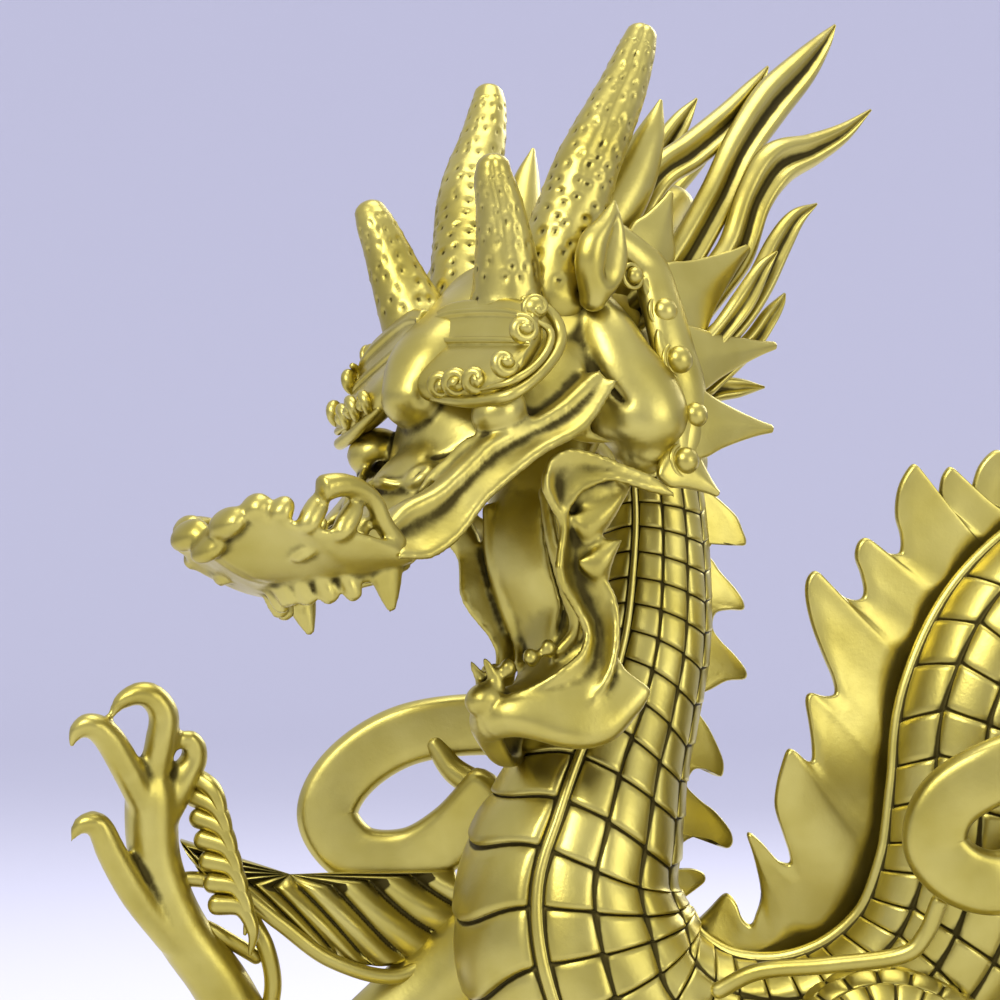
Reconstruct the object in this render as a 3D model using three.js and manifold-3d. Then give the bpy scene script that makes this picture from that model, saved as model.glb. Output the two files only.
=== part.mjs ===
// A cast brass dragon, standing on a low cast plinth.
// The dragon is one casting: a long body that falls from the head to the chest, swings under and
// back, arches over, and rises again into the tail. One foreleg is raised, three feet stand.
// Millimetres, +Z up. The origin is the middle of the plinth's underside. The head looks along -X,
// and the dragon's left side faces -Y.
import * as THREE from "three";
import { mergeVertices } from "three/addons/utils/BufferGeometryUtils.js";
import Module from "manifold-3d";

const wasm = await Module();
wasm.setup();

// ---------------------------------------------------------------- driving dimensions
const PLINTH_LENGTH = 372;
const PLINTH_WIDTH = 150;
const PLINTH_HEIGHT = 18; // the feet stand at this height
const PLINTH_CORNER = 44;

const PLATE_PITCH = 16.5; // length of one belly plate at the chest, where the body is widest
const CHEST_DEPTH = 33;
const CREST_THICK = 4.4;

const HEAD_AT = [-152.6, -31, 295.5]; // the middle of the forehead, between the brows
const HEAD_YAW = 45; // degrees from -Y towards -X
const HEAD_PITCH = 22; // degrees downwards
const HEAD_ROLL = 12;

// ---------------------------------------------------------------- small helpers
const rad = THREE.MathUtils.degToRad;
const vec = (p) => new THREE.Vector3(p[0], p[1], p[2]);
const FULL_TURN = 2 * Math.PI;

// Uniform Catmull-Rom through rows of any length, at a place counted in rows.
function through(rows, place) {
  const last = rows.length - 1;
  const i = Math.min(Math.floor(place), last - 1);
  const f = place - i;
  return rows[0].map((_, c) => {
    const a = rows[i][c];
    const b = rows[i + 1][c];
    const before = i > 0 ? rows[i - 1][c] : 2 * a - b;
    const after = i + 2 <= last ? rows[i + 2][c] : 2 * b - a;
    const slopeA = (b - before) / 2;
    const slopeB = (after - a) / 2;
    const f2 = f * f;
    const f3 = f2 * f;
    return (2 * f3 - 3 * f2 + 1) * a + (f3 - 2 * f2 + f) * slopeA
      + (3 * f2 - 2 * f3) * b + (f3 - f2) * slopeB;
  });
}

// A solid from a closed geometry, its shared vertices merged, turned to face outwards.
function solidOf(source) {
  const bare = source.clone();
  bare.deleteAttribute("normal");
  bare.deleteAttribute("uv");
  const merged = mergeVertices(bare, 1e-3);
  const vertProperties = new Float32Array(merged.attributes.position.array);
  const corners = merged.index.array;
  const triVerts = new Uint32Array(corners.filter((_, i) => {
    const k = i - (i % 3);
    const [a, b, c] = corners.slice(k, k + 3);
    return a !== b && b !== c && a !== c;
  }));
  const build = () => new wasm.Manifold(new wasm.Mesh({ numProp: 3, vertProperties, triVerts }));
  const made = build();
  if (made.volume() >= 0) return made;
  for (let i = 0; i < triVerts.length; i += 3)
    [triVerts[i + 1], triVerts[i + 2]] = [triVerts[i + 2], triVerts[i + 1]];
  return build();
}

function solid(points, faces) {
  const geometry = new THREE.BufferGeometry();
  const coordinates = points.flatMap((p) => [p.x, p.y, p.z]);
  geometry.setAttribute("position", new THREE.Float32BufferAttribute(coordinates, 3));
  geometry.setIndex(faces.flat());
  return solidOf(geometry);
}

// Rings of equal count, skinned and closed with a fan at each end.
function skin(rings) {
  const count = rings[0].length;
  const points = rings.flat();
  const faces = [];
  for (let i = 0; i + 1 < rings.length; i++)
    for (let j = 0; j < count; j++) {
      const a = i * count + j;
      const b = i * count + ((j + 1) % count);
      faces.push([a, b, b + count], [a, b + count, a + count]);
    }
  [0, rings.length - 1].forEach((r) => {
    const middle = points.length;
    const centre = new THREE.Vector3();
    rings[r].forEach((p) => centre.addScaledVector(p, 1 / count));
    points.push(centre);
    for (let j = 0; j < count; j++) {
      const a = r * count + j;
      const b = r * count + ((j + 1) % count);
      faces.push(r === 0 ? [middle, b, a] : [middle, a, b]);
    }
  });
  return solid(points, faces);
}

// Section outlines as [sideways, upwards] points for a half width and half height of 1.
function circle(n) {
  const turns = Array.from({ length: n }, (_, j) => (j / n) * FULL_TURN);
  return turns.map((turn) => [Math.sin(turn), Math.cos(turn)]);
}
const DIAMOND = circle(4);
const RIDGED = [[0, 1], [1, 0.05], [0.55, -0.8], [-0.55, -0.8], [-1, 0.05]];
const ROOF = [
  [0, 1], [0.42, 0.62], [0.76, 0], [1, -0.62], [0.92, -1], [0, -0.7],
  [-0.92, -1], [-1, -0.62], [-0.76, 0], [-0.42, 0.62],
];

// A limb through rows of [x, y, z, half width, half height], with "up" as its height direction.
const THINNEST = 0.5;
function limb(rows, { up = [0, 0, 1], section = circle(6), steps = 1, frame = null } = {}) {
  const total = (rows.length - 1) * steps;
  const rings = Array.from({ length: total + 1 }, (_, i) => {
    const place = i / steps;
    const [x, y, z, wide, high] = through(rows, place);
    const ahead = vec(through(rows, Math.min(place + 0.02, rows.length - 1)));
    const along = ahead.sub(vec(through(rows, Math.max(place - 0.02, 0)))).normalize();
    const side = new THREE.Vector3().crossVectors(along, vec(up)).normalize();
    const top = new THREE.Vector3().crossVectors(side, along);
    return section.map(([s, t]) => {
      const p = new THREE.Vector3(x, y, z);
      p.addScaledVector(side, s * Math.max(wide, THINNEST));
      p.addScaledVector(top, t * Math.max(high, THINNEST));
      return frame ? p.applyMatrix4(frame) : p;
    });
  });
  return skin(rings);
}

// A limb that swells quickly and tapers to a point: a flame of the mane, a claw or a tuft.
function flame(path, thick, flat, options = {}) {
  const last = path.length - 1;
  const rows = path.map(([x, y, z], i) => {
    const high = thick * (1 - (i / last) ** 1.7) + 0.7;
    return [x, y, z, high * flat, high];
  });
  return limb(rows, { section: RIDGED, ...options });
}

// An egg-shaped swelling with radii along the frame's own axes.
function swelling(centre, radii, { frame = null, detail = 6, turn = [0, 0, 0] } = {}) {
  const place = new THREE.Matrix4().compose(
    vec(centre),
    new THREE.Quaternion().setFromEuler(new THREE.Euler(...turn.map(rad))),
    vec(radii),
  );
  if (frame) place.premultiply(frame);
  return solidOf(new THREE.SphereGeometry(1, detail + 3, detail).applyMatrix4(place));
}

function bead(centre, radius, frame) {
  const geometry = new THREE.IcosahedronGeometry(radius, 0).translate(...centre);
  return solidOf(geometry.applyMatrix4(frame));
}

// A sheet of even thickness over a grid of points, closed along its edges.
function sheet(grid, thickness, frame = null) {
  const rows = grid.length;
  const cols = grid[0].length;
  const at = (i, j) => vec(grid[Math.max(0, Math.min(rows - 1, i))][Math.max(0, Math.min(cols - 1, j))]);
  const faceUp = [];
  const faceDown = [];
  for (let i = 0; i < rows; i++)
    for (let j = 0; j < cols; j++) {
      const du = at(i + 1, j).sub(at(i - 1, j));
      const dv = at(i, j + 1).sub(at(i, j - 1));
      const normal = du.cross(dv).normalize().multiplyScalar(thickness / 2);
      faceUp.push(at(i, j).add(normal));
      faceDown.push(at(i, j).sub(normal));
    }
  const points = [...faceUp, ...faceDown];
  if (frame) points.forEach((p) => p.applyMatrix4(frame));
  const under = rows * cols;
  const faces = [];
  const quad = (a, b, c, d) => faces.push([a, b, c], [a, c, d]);
  for (let i = 0; i + 1 < rows; i++)
    for (let j = 0; j + 1 < cols; j++) {
      const a = i * cols + j;
      quad(a, a + cols, a + cols + 1, a + 1);
      quad(under + a, under + a + 1, under + a + cols + 1, under + a + cols);
    }
  const edge = [];
  for (let j = 0; j < cols - 1; j++) edge.push(j);
  for (let i = 0; i < rows - 1; i++) edge.push(i * cols + cols - 1);
  for (let j = cols - 1; j > 0; j--) edge.push((rows - 1) * cols + j);
  for (let i = rows - 1; i > 0; i--) edge.push(i * cols);
  edge.forEach((a, k) => {
    const b = edge[(k + 1) % edge.length];
    quad(a, b, under + b, under + a);
  });
  return solid(points, faces);
}

// ---------------------------------------------------------------- the body
// Stations from the skull to the tail: [x, y, z, half width, half depth, twist]. The twist is in
// degrees, and turns the back towards the left side.
const BODY = [
  [-89, 13, 280, 14, 15, -20],
  [-86, 15, 255, 16, 16, -20],
  [-86, 14, 234, 18, 18, -20],
  [-88, 11, 213, 20, 20, -20],
  [-93, 7, 194, 22, 22, -20],
  [-100, 3, 177, 26, 26, -20],
  [-106, 0, 159, 31, 30, -20],
  [-111, -1, 140, 35, 34, -18],
  [-108, -1, 119, 37, 37, -10],
  [-95, 0, 100, 37, 36, 0],
  [-72, 2, 90, 35, 34, 6],
  [-46, 3, 90, 34, 33, 10],
  [-22, 3, 99, 33, 33, 14],
  [-3, 2, 118, 32, 32, 16],
  [7, 1, 142, 32, 32, 16],
  [10, 2, 167, 31, 31, 16],
  [13, 5, 191, 31, 31, 16],
  [25, 9, 214, 30, 31, 14],
  [45, 12, 230, 30, 30, 10],
  [70, 13, 233, 29, 30, 5],
  [93, 11, 220, 28, 29, 2],
  [107, 7, 197, 28, 28, 0],
  [114, 2, 170, 28, 28, 0],
  [121, -3, 143, 29, 29, 0],
  [135, -6, 118, 30, 30, 0],
  [158, -6, 101, 28, 29, 0],
  [185, -3, 98, 23, 24, 0],
  [209, 3, 109, 18, 19, 0],
  [224, 10, 131, 14, 15, 0],
  [227, 16, 156, 11, 12, 0],
  [219, 20, 180, 9, 9, 0],
  [206, 22, 201, 7, 7, 0],
  [198, 23, 222, 5, 5, 0],
];

// Where the body is at a place counted in stations, with its along, back and left directions.
function bodyAt(place) {
  const [x, y, z, wide, deep, twist] = through(BODY, place);
  const ahead = vec(through(BODY, Math.min(place + 0.02, BODY.length - 1)));
  const along = ahead.sub(vec(through(BODY, Math.max(place - 0.02, 0)))).normalize();
  const flatBack = new THREE.Vector3().crossVectors(along, new THREE.Vector3(0, 1, 0)).normalize();
  const flatLeft = new THREE.Vector3().crossVectors(along, flatBack);
  const turn = rad(twist);
  const back = flatBack.clone().multiplyScalar(Math.cos(turn)).addScaledVector(flatLeft, Math.sin(turn));
  const left = new THREE.Vector3().crossVectors(along, back);
  return { centre: new THREE.Vector3(x, y, z), along, back, left, wide, deep };
}

// Length along the body, so that plates and spines are laid out at real distances from the skull.
const FINE = 12;
const lengthAt = [0];
for (let i = 1; i <= (BODY.length - 1) * FINE; i++) {
  const step = vec(through(BODY, (i - 1) / FINE)).distanceTo(vec(through(BODY, i / FINE)));
  lengthAt.push(lengthAt[i - 1] + step);
}
const BODY_LENGTH = lengthAt[lengthAt.length - 1];
function placeAt(distance) {
  const d = Math.max(0, Math.min(BODY_LENGTH, distance));
  let i = 1;
  while (i < lengthAt.length - 1 && lengthAt[i] < d) i++;
  return (i - 1 + (d - lengthAt[i - 1]) / (lengthAt[i] - lengthAt[i - 1])) / FINE;
}

// Round the body from the back to the belly: [angle, radius, lift at a tile's tail end, stagger].
// Four rows of tiles lie on each side, then a raised rim, then the belly plates.
const HALF_ROUND = [
  [0, 0.98, 0, 0], [24, 0.97, 0, 0], [50, 1, 0.04, 0.22], [77, 1, 0.04, -0.22], [103, 1, 0.04, 0.22],
  [130, 1.03, 0, 0], [141, 0.95, 0.05, 0], [180, 0.95, 0.05, 0],
];
const WHOLE_ROUND = [
  ...HALF_ROUND,
  ...HALF_ROUND.slice(1, -1).reverse().map(([angle, ...rest]) => [360 - angle, ...rest]),
];

// Two rings to a plate: its low head end, and its raised tail end just before the next one starts.
const PLATE_LIP = 0.87; // the raised end's place along the plate
function makeBody(fromDistance, toDistance, pitchScale) {
  const rings = [];
  const ring = (distance, pitch, raised) => rings.push(WHOLE_ROUND.map(([angle, radius, lift, stagger]) => {
    const b = bodyAt(placeAt(distance + stagger * pitch));
    const r = radius + (raised ? lift : 0);
    return b.centre.clone()
      .addScaledVector(b.left, Math.sin(rad(angle)) * b.wide * r)
      .addScaledVector(b.back, Math.cos(rad(angle)) * b.deep * r);
  }));
  let distance = fromDistance;
  while (distance < toDistance) {
    const pitch = pitchScale * PLATE_PITCH * Math.max(0.6,
      through(BODY, placeAt(distance))[4] / CHEST_DEPTH);
    ring(distance, pitch, false);
    ring(distance + PLATE_LIP * pitch, pitch, true);
    distance += pitch;
  }
  return skin(rings);
}

// ---------------------------------------------------------------- the crest along the back
// A thin fin of teeth that lean towards the tail, growing out of a low band. A row of points is
// [foot, distance, height]: the foot's and the top's distance along the body, and the top's height
// above the back. The feet stay evenly spaced, so that a hooked tip never folds the fin over.
const ROOT_DEPTH = 4;
function onCrest(distance, height, side) {
  const b = bodyAt(placeAt(distance));
  return b.centre.clone().addScaledVector(b.back, b.deep * 0.98 + height).addScaledVector(b.left, side);
}
function fin(points) {
  return skin(points.map(([foot, distance, height]) => {
    const half = CREST_THICK / 2;
    const thin = half * Math.max(0.4, 1 - height / 34);
    return [onCrest(foot, -ROOT_DEPTH, half), onCrest(distance, height, thin),
      onCrest(distance, height, -thin), onCrest(foot, -ROOT_DEPTH, -half)];
  }));
}
const toothPoints = ([start, end, tip, height, low]) => [
  [start, start, low],
  [start + (end - start) * 0.3, start + (tip - start) * 0.5, low + (height - low) * 0.36],
  [start + (end - start) * 0.55, tip, height],
  [end - 2, end - 0.5, low + (height - low) * 0.2],
];

// Teeth as [start, end, tip, height, height of the band before it].
const NECK_TEETH = [
  [22, 38, 38, 13.5, 4], [40, 55, 55, 12, 4], [57, 77, 74, 13.5, 3.5], [79, 98, 94, 14.5, 3],
  [101, 121, 117, 18.5, 4], [126, 154, 149, 9, 3],
];
const RISE_TEETH = [
  [196, 219, 207, 11, 0], [224, 292, 258, 35, 8], [304, 346, 350, 31, 14], [349, 363, 361, 25, 14],
  [365, 378, 378, 37, 13], [380, 390, 387, 27, 13], [392, 402, 401, 31, 13], [404, 411, 408, 24, 13],
  [413, 420, 418, 22, 13],
];
const HIND_TOOTH_PITCH = 24;
function makeCrest() {
  const hindTeeth = [];
  for (let s = 424; s < BODY_LENGTH - 34; s += HIND_TOOTH_PITCH) {
    const size = THREE.MathUtils.mapLinear(s, 424, BODY_LENGTH, 24, 9);
    hindTeeth.push([s, s + HIND_TOOTH_PITCH - 3, s + HIND_TOOTH_PITCH - 2, size, size * 0.4]);
  }
  const tail = BODY_LENGTH - 6;
  return [
    fin([[8, 8, 1], ...NECK_TEETH.flatMap(toothPoints), [164, 164, 1]]),
    fin([[184, 184, -2], ...[...RISE_TEETH, ...hindTeeth].flatMap(toothPoints), [tail, tail, 1]]),
  ];
}

// ---------------------------------------------------------------- the head
// Points on the head are [forward, left, up] from the middle of the forehead.
const headFrame = (() => {
  const [yaw, pitch, roll] = [HEAD_YAW, HEAD_PITCH, HEAD_ROLL].map(rad);
  const level = Math.cos(pitch);
  const forward = new THREE.Vector3(-Math.sin(yaw) * level, -Math.cos(yaw) * level, -Math.sin(pitch));
  const left = new THREE.Vector3(Math.cos(yaw), -Math.sin(yaw), 0).applyAxisAngle(forward, roll);
  const up = new THREE.Vector3().crossVectors(forward, left);
  return new THREE.Matrix4().makeBasis(forward, left, up).setPosition(...HEAD_AT);
})();
const inHead = (options = {}) => ({ frame: headFrame, ...options });
const mirrored = ([f, l, u, ...rest]) => [f, -l, u, ...rest];
const bothSides = (rows, make) => [make(rows), make(rows.map(mirrored))];
const FORWARD = [1, 0, 0];

function makeSkull() {
  return [
    limb([
      [-34, 0, -4, 34, 22], [-16, 0, -8, 37, 22], [2, 0, -15, 36, 18], [18, 0, -24, 33, 13],
      [34, 0, -31, 30, 10], [50, 0, -36, 29, 8], [66, 0, -39, 27, 5],
    ], inHead({ section: ROOF, steps: 2 })),
    limb([[-36, 0, -8, 29, 26], [-54, 1, -14, 25, 25], [-62, 4, -36, 17, 19], [-64, 5, -62, 14, 14]],
      inHead({ section: circle(10), up: FORWARD })),
    swelling([-44, 0, -6], [24, 27, 25], inHead()),
    swelling([37, 0, -27], [12, 17, 8], inHead({ detail: 5 })),
    // brows, eyes, and the pear-shaped cheeks
    ...bothSides([[-2, 27, -4]], ([c]) => swelling(c, [19, 15, 15], inHead())),
    ...bothSides([[7, 27, -17]], ([c]) => swelling(c, [8, 7, 8], inHead({ detail: 4 }))),
    ...bothSides([[-30, 24, -4, 12, 8], [-38, 31, -14, 15, 14], [-41, 33, -29, 12, 15],
      [-41, 33, -42, 15, 16], [-38, 30, -54, 9, 9]],
      (rows) => limb(rows, inHead({ section: circle(8), up: FORWARD }))),
    ...bothSides([[36, 14, -27]], ([c]) => swelling(c, [8, 6, 5], inHead({ detail: 3 }))),
  ];
}

// Two horns to a side, each blunt, the rear one forked; a pointed ear below them.
function makeHorns() {
  const horn = circle(8);
  return [
    ...bothSides([
      [-48, 22, -4, 13, 13], [-56, 27, 20, 11, 12], [-71, 30, 34, 9, 10], [-87, 34, 49, 7, 8],
        [-97, 37, 61, 4, 4.5],
    ], (rows) => limb(rows, inHead({ section: horn, steps: 2, up: FORWARD }))),
    ...bothSides([[-68, 24, 14, 6, 7], [-86, 28, 26, 5, 6], [-100, 30, 39, 1, 1]],
      (rows) => limb(rows, inHead())),
    ...bothSides([
      [-16, 22, 2, 11, 11], [-22, 24, 18, 8, 9], [-29, 26, 32, 6.5, 7.5], [-29, 29, 44, 7, 8],
        [-28, 30, 48, 3, 4],
    ], (rows) => limb(rows, inHead({ section: horn, up: FORWARD }))),
    ...bothSides([[-38, 31, -2, 4, 5], [-46, 38, 6, 4, 7], [-52, 43, 18, 1, 1]],
      (rows) => limb(rows, inHead({ up: FORWARD }))),
  ];
}

// The upper lip: a wavy roll from the mouth's corner to the snout, and the upturned lip plate
// that spreads like a scalloped shell beyond it.
const LIP_PLATE_COLUMNS = 13;
function makeUpperLip() {
  const root = [[58, 26, -43], [76, 15, -39], [90, 0, -33]];
  const rim = [[66, 32, -38], [80, 29, -25], [90, 15, -14], [106, 0, -14]];
  const grid = [0, 0.5, 1].map((out) => Array.from({ length: LIP_PLATE_COLUMNS }, (_, j) => {
    const across = (2 * j) / (LIP_PLATE_COLUMNS - 1) - 1;
    const share = 1 - Math.abs(across);
    const a = vec(through(root, share * (root.length - 1)));
    const b = vec(through(rim, share * (rim.length - 1)));
    const scallop = j % 2 === 0 ? 0.9 : 1.06;
    const p = a.clone().lerp(b, out === 1 ? scallop : out);
    p.z -= 3.5 * Math.sin(Math.PI * out);
    p.y *= across < 0 ? -1 : 1;
    return p.toArray();
  }));
  const teeth = [-12, -4, 4, 12].map((l) => limb([[82 - Math.abs(l) / 3, l, -38, 3.2, 3],
    [83 - Math.abs(l) / 3, l, -49, 2, 2]],
    inHead({ up: FORWARD, section: DIAMOND })));
  return [
    sheet(grid, 3, headFrame),
    ...bothSides([
      [-28, 39, -20, 3, 4], [-7, 38, -31, 3, 3.5], [14, 34, -33, 3, 3.5], [32, 30, -39, 3, 3.5],
        [50, 29, -43, 3, 3.5], [66, 28, -41, 2, 3],
    ], (rows) => limb(rows, inHead())),
    ...bothSides([[54, 20, -43, 4, 5], [72, 16, -41, 4, 5], [84, 8, -37, 4, 5], [86, -1, -37, 3, 5]],
      (rows) => limb(rows, inHead())),
    ...teeth,
    ...bothSides([[60, 16, -42, 4, 4], [66, 17, -58, 0.8, 0.8]],
      (rows) => limb(rows, inHead({ up: FORWARD, section: circle(5) }))),
    ...bothSides([[56, 21, -41, 3, 3], [60, 27, -29, 2.6, 2.6], [70, 31, -17, 3, 3],
      [84, 33, -13, 3.6, 3.6]],
      (rows) => limb(rows, inHead())),
  ];
}

// The open lower jaw hangs nearly upright: a scoop with a tongue, lips in two folds, spikes that
// point back from them, a leaf-shaped flap at the mouth's corner and a curled beard.
function makeLowerJaw() {
  return [
    limb([
      [-34, 0, -34, 20, 14], [-18, 0, -48, 20, 9], [-12, 0, -62, 20, 7], [-8, 0, -78, 20, 7],
        [0, 0, -94, 18, 8],
      [16, 0, -104, 14, 9], [30, 0, -101, 9, 8], [38, 0, -93, 5, 5],
    ], inHead({ section: circle(8), up: FORWARD })),
    limb([[-20, 0, -44, 9, 3], [-6, 0, -56, 10, 3], [-1, 0, -72, 10, 3], [-1, 0, -90, 9, 3]],
      inHead({ up: FORWARD })),
    // the lip's inner edge, and the outer fold that hangs behind it
    ...bothSides([
      [-20, 26, -40, 3, 5], [-6, 22, -52, 3, 5], [-3, 19, -66, 3, 5], [-1, 18, -80, 3, 5],
        [5, 16, -93, 3, 5], [20, 11, -98, 3, 4],
      [33, 4, -95, 2, 4],
    ], (rows) => limb(rows, inHead({ up: FORWARD, section: DIAMOND }))),
    ...bothSides([
      [-16, 26, -46, 4, 6], [-13, 23, -62, 4, 6], [-10, 23, -78, 4, 6], [-6, 23, -91, 4, 5],
        [4, 20, -103, 4, 6], [17, 12, -110, 4, 6],
    ], (rows) => limb(rows, inHead({ up: FORWARD }))),
    ...bothSides([[-6, 25, -66, 2.5, 6], [-26, 31, -56, 0.6, 0.6]],
      (rows) => limb(rows, inHead({ section: DIAMOND }))),
    ...bothSides([[-2, 24, -80, 2.5, 6], [-14, 30, -68, 0.6, 0.6]],
      (rows) => limb(rows, inHead({ section: DIAMOND }))),
    ...bothSides([[0, 23, -42, 3, 4], [-10, 27, -43, 6, 8], [-19, 33, -50, 4, 8], [-32, 40, -65, 0.6, 1]],
      (rows) => limb(rows, inHead({ section: DIAMOND }))),
    ...bothSides([[30, 3, -104, 4, 6], [16, 11, -113, 6, 8], [4, 18, -113, 6, 7], [-9, 24, -113, 1, 1.5]],
      (rows) => limb(rows, inHead())),
  ];
}

// The frill behind the cheek: a collar with beads on it and flat spikes around it.
function makeFrill() {
  const collar = [[-50, 33, 8, 5, 4], [-58, 36, -6, 5, 7], [-62, 36, -24, 5, 7], [-60, 34, -42, 5, 7],
    [-46, 32, -58, 5, 6]];
  const beads = [[-57, 38, -1], [-59, 40, -15], [-59, 41, -30], [-56, 40, -46], [-46, 37, -57]];
  const spikes = [
    [[-56, 32, 2], [-87, 33, 14]], [[-60, 33, -8], [-107, 35, -11]], [[-60, 34, -24], [-97, 40, -41]],
    [[-56, 34, -44], [-78, 43, -63]], [[-44, 32, -56], [-47, 43, -72]],
  ];
  const spike = ([base, tip]) => limb([[...base, 4, 11], [...tip, 0.6, 0.6]], inHead({
    section: DIAMOND,
    up: Math.abs(tip[0] - base[0]) > Math.abs(tip[2] - base[2]) ? [0, 0, 1] : FORWARD,
  }));
  return [
    ...bothSides(collar, (rows) => limb(rows, inHead({ up: FORWARD }))),
    ...beads.map((centre) => bead(centre, 4, headFrame)),
    ...spikes.flatMap((s) => bothSides(s, spike)),
  ];
}

// The mane streams back in flames. The right side has the larger ones only.
function makeMane() {
  const nearFlames = [
    [[-56, 12, -2], [-104, 18, 6], [-138, 21, 12], [-165, 21, 20], [-194, 20, 37]],
    [[-58, 20, -10], [-102, 30, -1], [-128, 34, 7], [-148, 37, 5], [-175, 38, 9]],
    [[-58, 6, 2], [-108, 6, 13], [-140, 8, 24], [-174, 5, 33]],
    [[-56, 24, -20], [-93, 36, -15], [-113, 40, -8], [-133, 42, -9]],
    [[-52, 26, -34], [-84, 36, -32], [-106, 40, -28]],
    [[-44, 24, -42], [-72, 27, -50], [-90, 30, -52]],
  ];
  const thickness = [13, 12, 11, 9, 6.5, 6];
  const flames = nearFlames.map((path, i) => flame(path, thickness[i],
    0.55, inHead({ steps: i < 2 ? 2 : 1 })));
  const farFlames = nearFlames.slice(0, 4).map((path, i) => flame(path.map(mirrored), thickness[i],
    0.55, inHead()));
  return [
    limb([[-46, 0, -4, 26, 20], [-80, 0, 0, 24, 15], [-112, 0, 8, 14, 9]], inHead({ section: circle(8) })),
    flame([[-66, -4, 4], [-115, -6, 12], [-137, -5, 24], [-152, -4, 34]], 8, 0.7, inHead()),
    ...flames, ...farFlames,
  ];
}

// ---------------------------------------------------------------- legs
const SIDEWAYS = [0, 1, 0];

// The raised right foreleg: upper arm, forearm, open hand with four hooked claws.
function makeRaisedLeg() {
  const claws = [
    [[-237, 5, 172], [-233, 2, 186], [-234, 0, 194], [-242, -3, 196], [-249, -5, 189]],
    [[-239, 2, 168], [-246, -3, 177], [-252, -8, 187], [-257, -11, 186], [-260, -12, 181]],
    [[-231, 9, 122], [-242, 1, 138], [-250, -5, 155], [-255, -8, 159], [-260, -9, 154]],
    [[-235, 7, 160], [-227, 9, 174], [-224, 8, 177], [-229, 3, 180]],
  ];
  return [
    limb([[-118, 20, 128, 16, 20], [-146, 31, 108, 14, 17], [-176, 34, 84, 13, 14], [-194, 30, 70, 11, 11]],
      { section: circle(8) }),
    limb([[-192, 30, 66, 11, 11], [-207, 24, 88, 10, 11], [-217, 18, 108, 9, 10], [-229, 12, 126, 8.5, 9],
      [-236, 8, 146, 8, 9], [-237, 6, 166, 8, 9], [-236, 5, 176, 5, 6]],
        { section: circle(8), up: SIDEWAYS }),
    ...claws.map((path) => flame(path, 5.6, 0.85, { up: SIDEWAYS, section: circle(5) })),
    // the ridge of hair up the back of the wrist
    limb([[-206, 22, 118, 3, 4], [-222, 16, 136, 4, 6], [-226, 11, 156, 4, 7], [-223, 9, 174, 3, 4]],
      { section: RIDGED, up: [1, 0, 0] }),
  ];
}

// The fringe along the raised leg: slanted locks of hair above a rolled rim.
const LOCKS = 9;
function makeFringe() {
  const top = [[-229, 15, 152], [-218, 17, 144], [-208, 19, 139], [-193, 23, 137], [-172, 27, 139],
    [-146, 31, 142]];
  const bottom = [[-222, 15, 141], [-214, 17, 137], [-200, 19, 128], [-186, 23, 118], [-166, 27, 113],
    [-142, 30, 124]];
  const lean = 1.2;
  const columns = LOCKS * 2 + 1;
  const grid = [0, 0.5, 1].map((fall) => Array.from({ length: columns }, (_, j) => {
    const share = THREE.MathUtils.clamp((j + lean * fall) / (columns - 1), 0, 1) * (top.length - 1);
    const p = vec(through(top, share)).lerp(vec(through(bottom, share)), fall);
    p.y += (j % 2 === 0 ? 2.2 : -2.8) - 3 * Math.sin(Math.PI * fall);
    return p.toArray();
  }));
  return [
    sheet(grid, 6.5),
    limb([[-204, 21, 118, 2.6, 2.6], [-218, 16, 124, 2.6, 2.6], [-230, 14, 131, 2.6, 2.6],
      [-227, 14, 140, 2.6, 2.6],
      [-212, 16, 137, 2.6, 2.6], [-198, 18, 126, 2.6, 2.6], [-182, 22, 115, 2.6, 2.6],
        [-163, 26, 111, 2.6, 2.6],
      [-146, 30, 121, 2.6, 2.6]], { up: SIDEWAYS, section: circle(5) }),
    limb([[-206, 20, 126, 2.5, 2.5], [-202, 20, 112, 2.8, 2.8], [-202, 23, 96, 3, 3]], { up: SIDEWAYS }),
  ];
}

// A standing or planted leg ends in a foot: a pad and four splayed toes with claws.
const TOE_TURNS = [-52, -17, 17, 52];
function makeFoot([x, y], facing) {
  const ground = PLINTH_HEIGHT;
  const toes = TOE_TURNS.map((turn) => {
    const direction = rad(facing + turn);
    const out = (reach, height, wide, high) => [
      x + Math.cos(direction) * reach, y + Math.sin(direction) * reach, ground + height, wide, high,
    ];
    return limb([out(4, 7, 5, 6), out(18, 8, 4.6, 5), out(33, 1.5, 1, 1)], { section: circle(5) });
  });
  const pad = limb([[x, y, ground - 3, 9, 9], [x, y, ground + 8, 10, 10], [x, y, ground + 16, 7, 7]],
    { section: circle(6), up: [1, 0, 0] });
  return [pad, ...toes];
}

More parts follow.
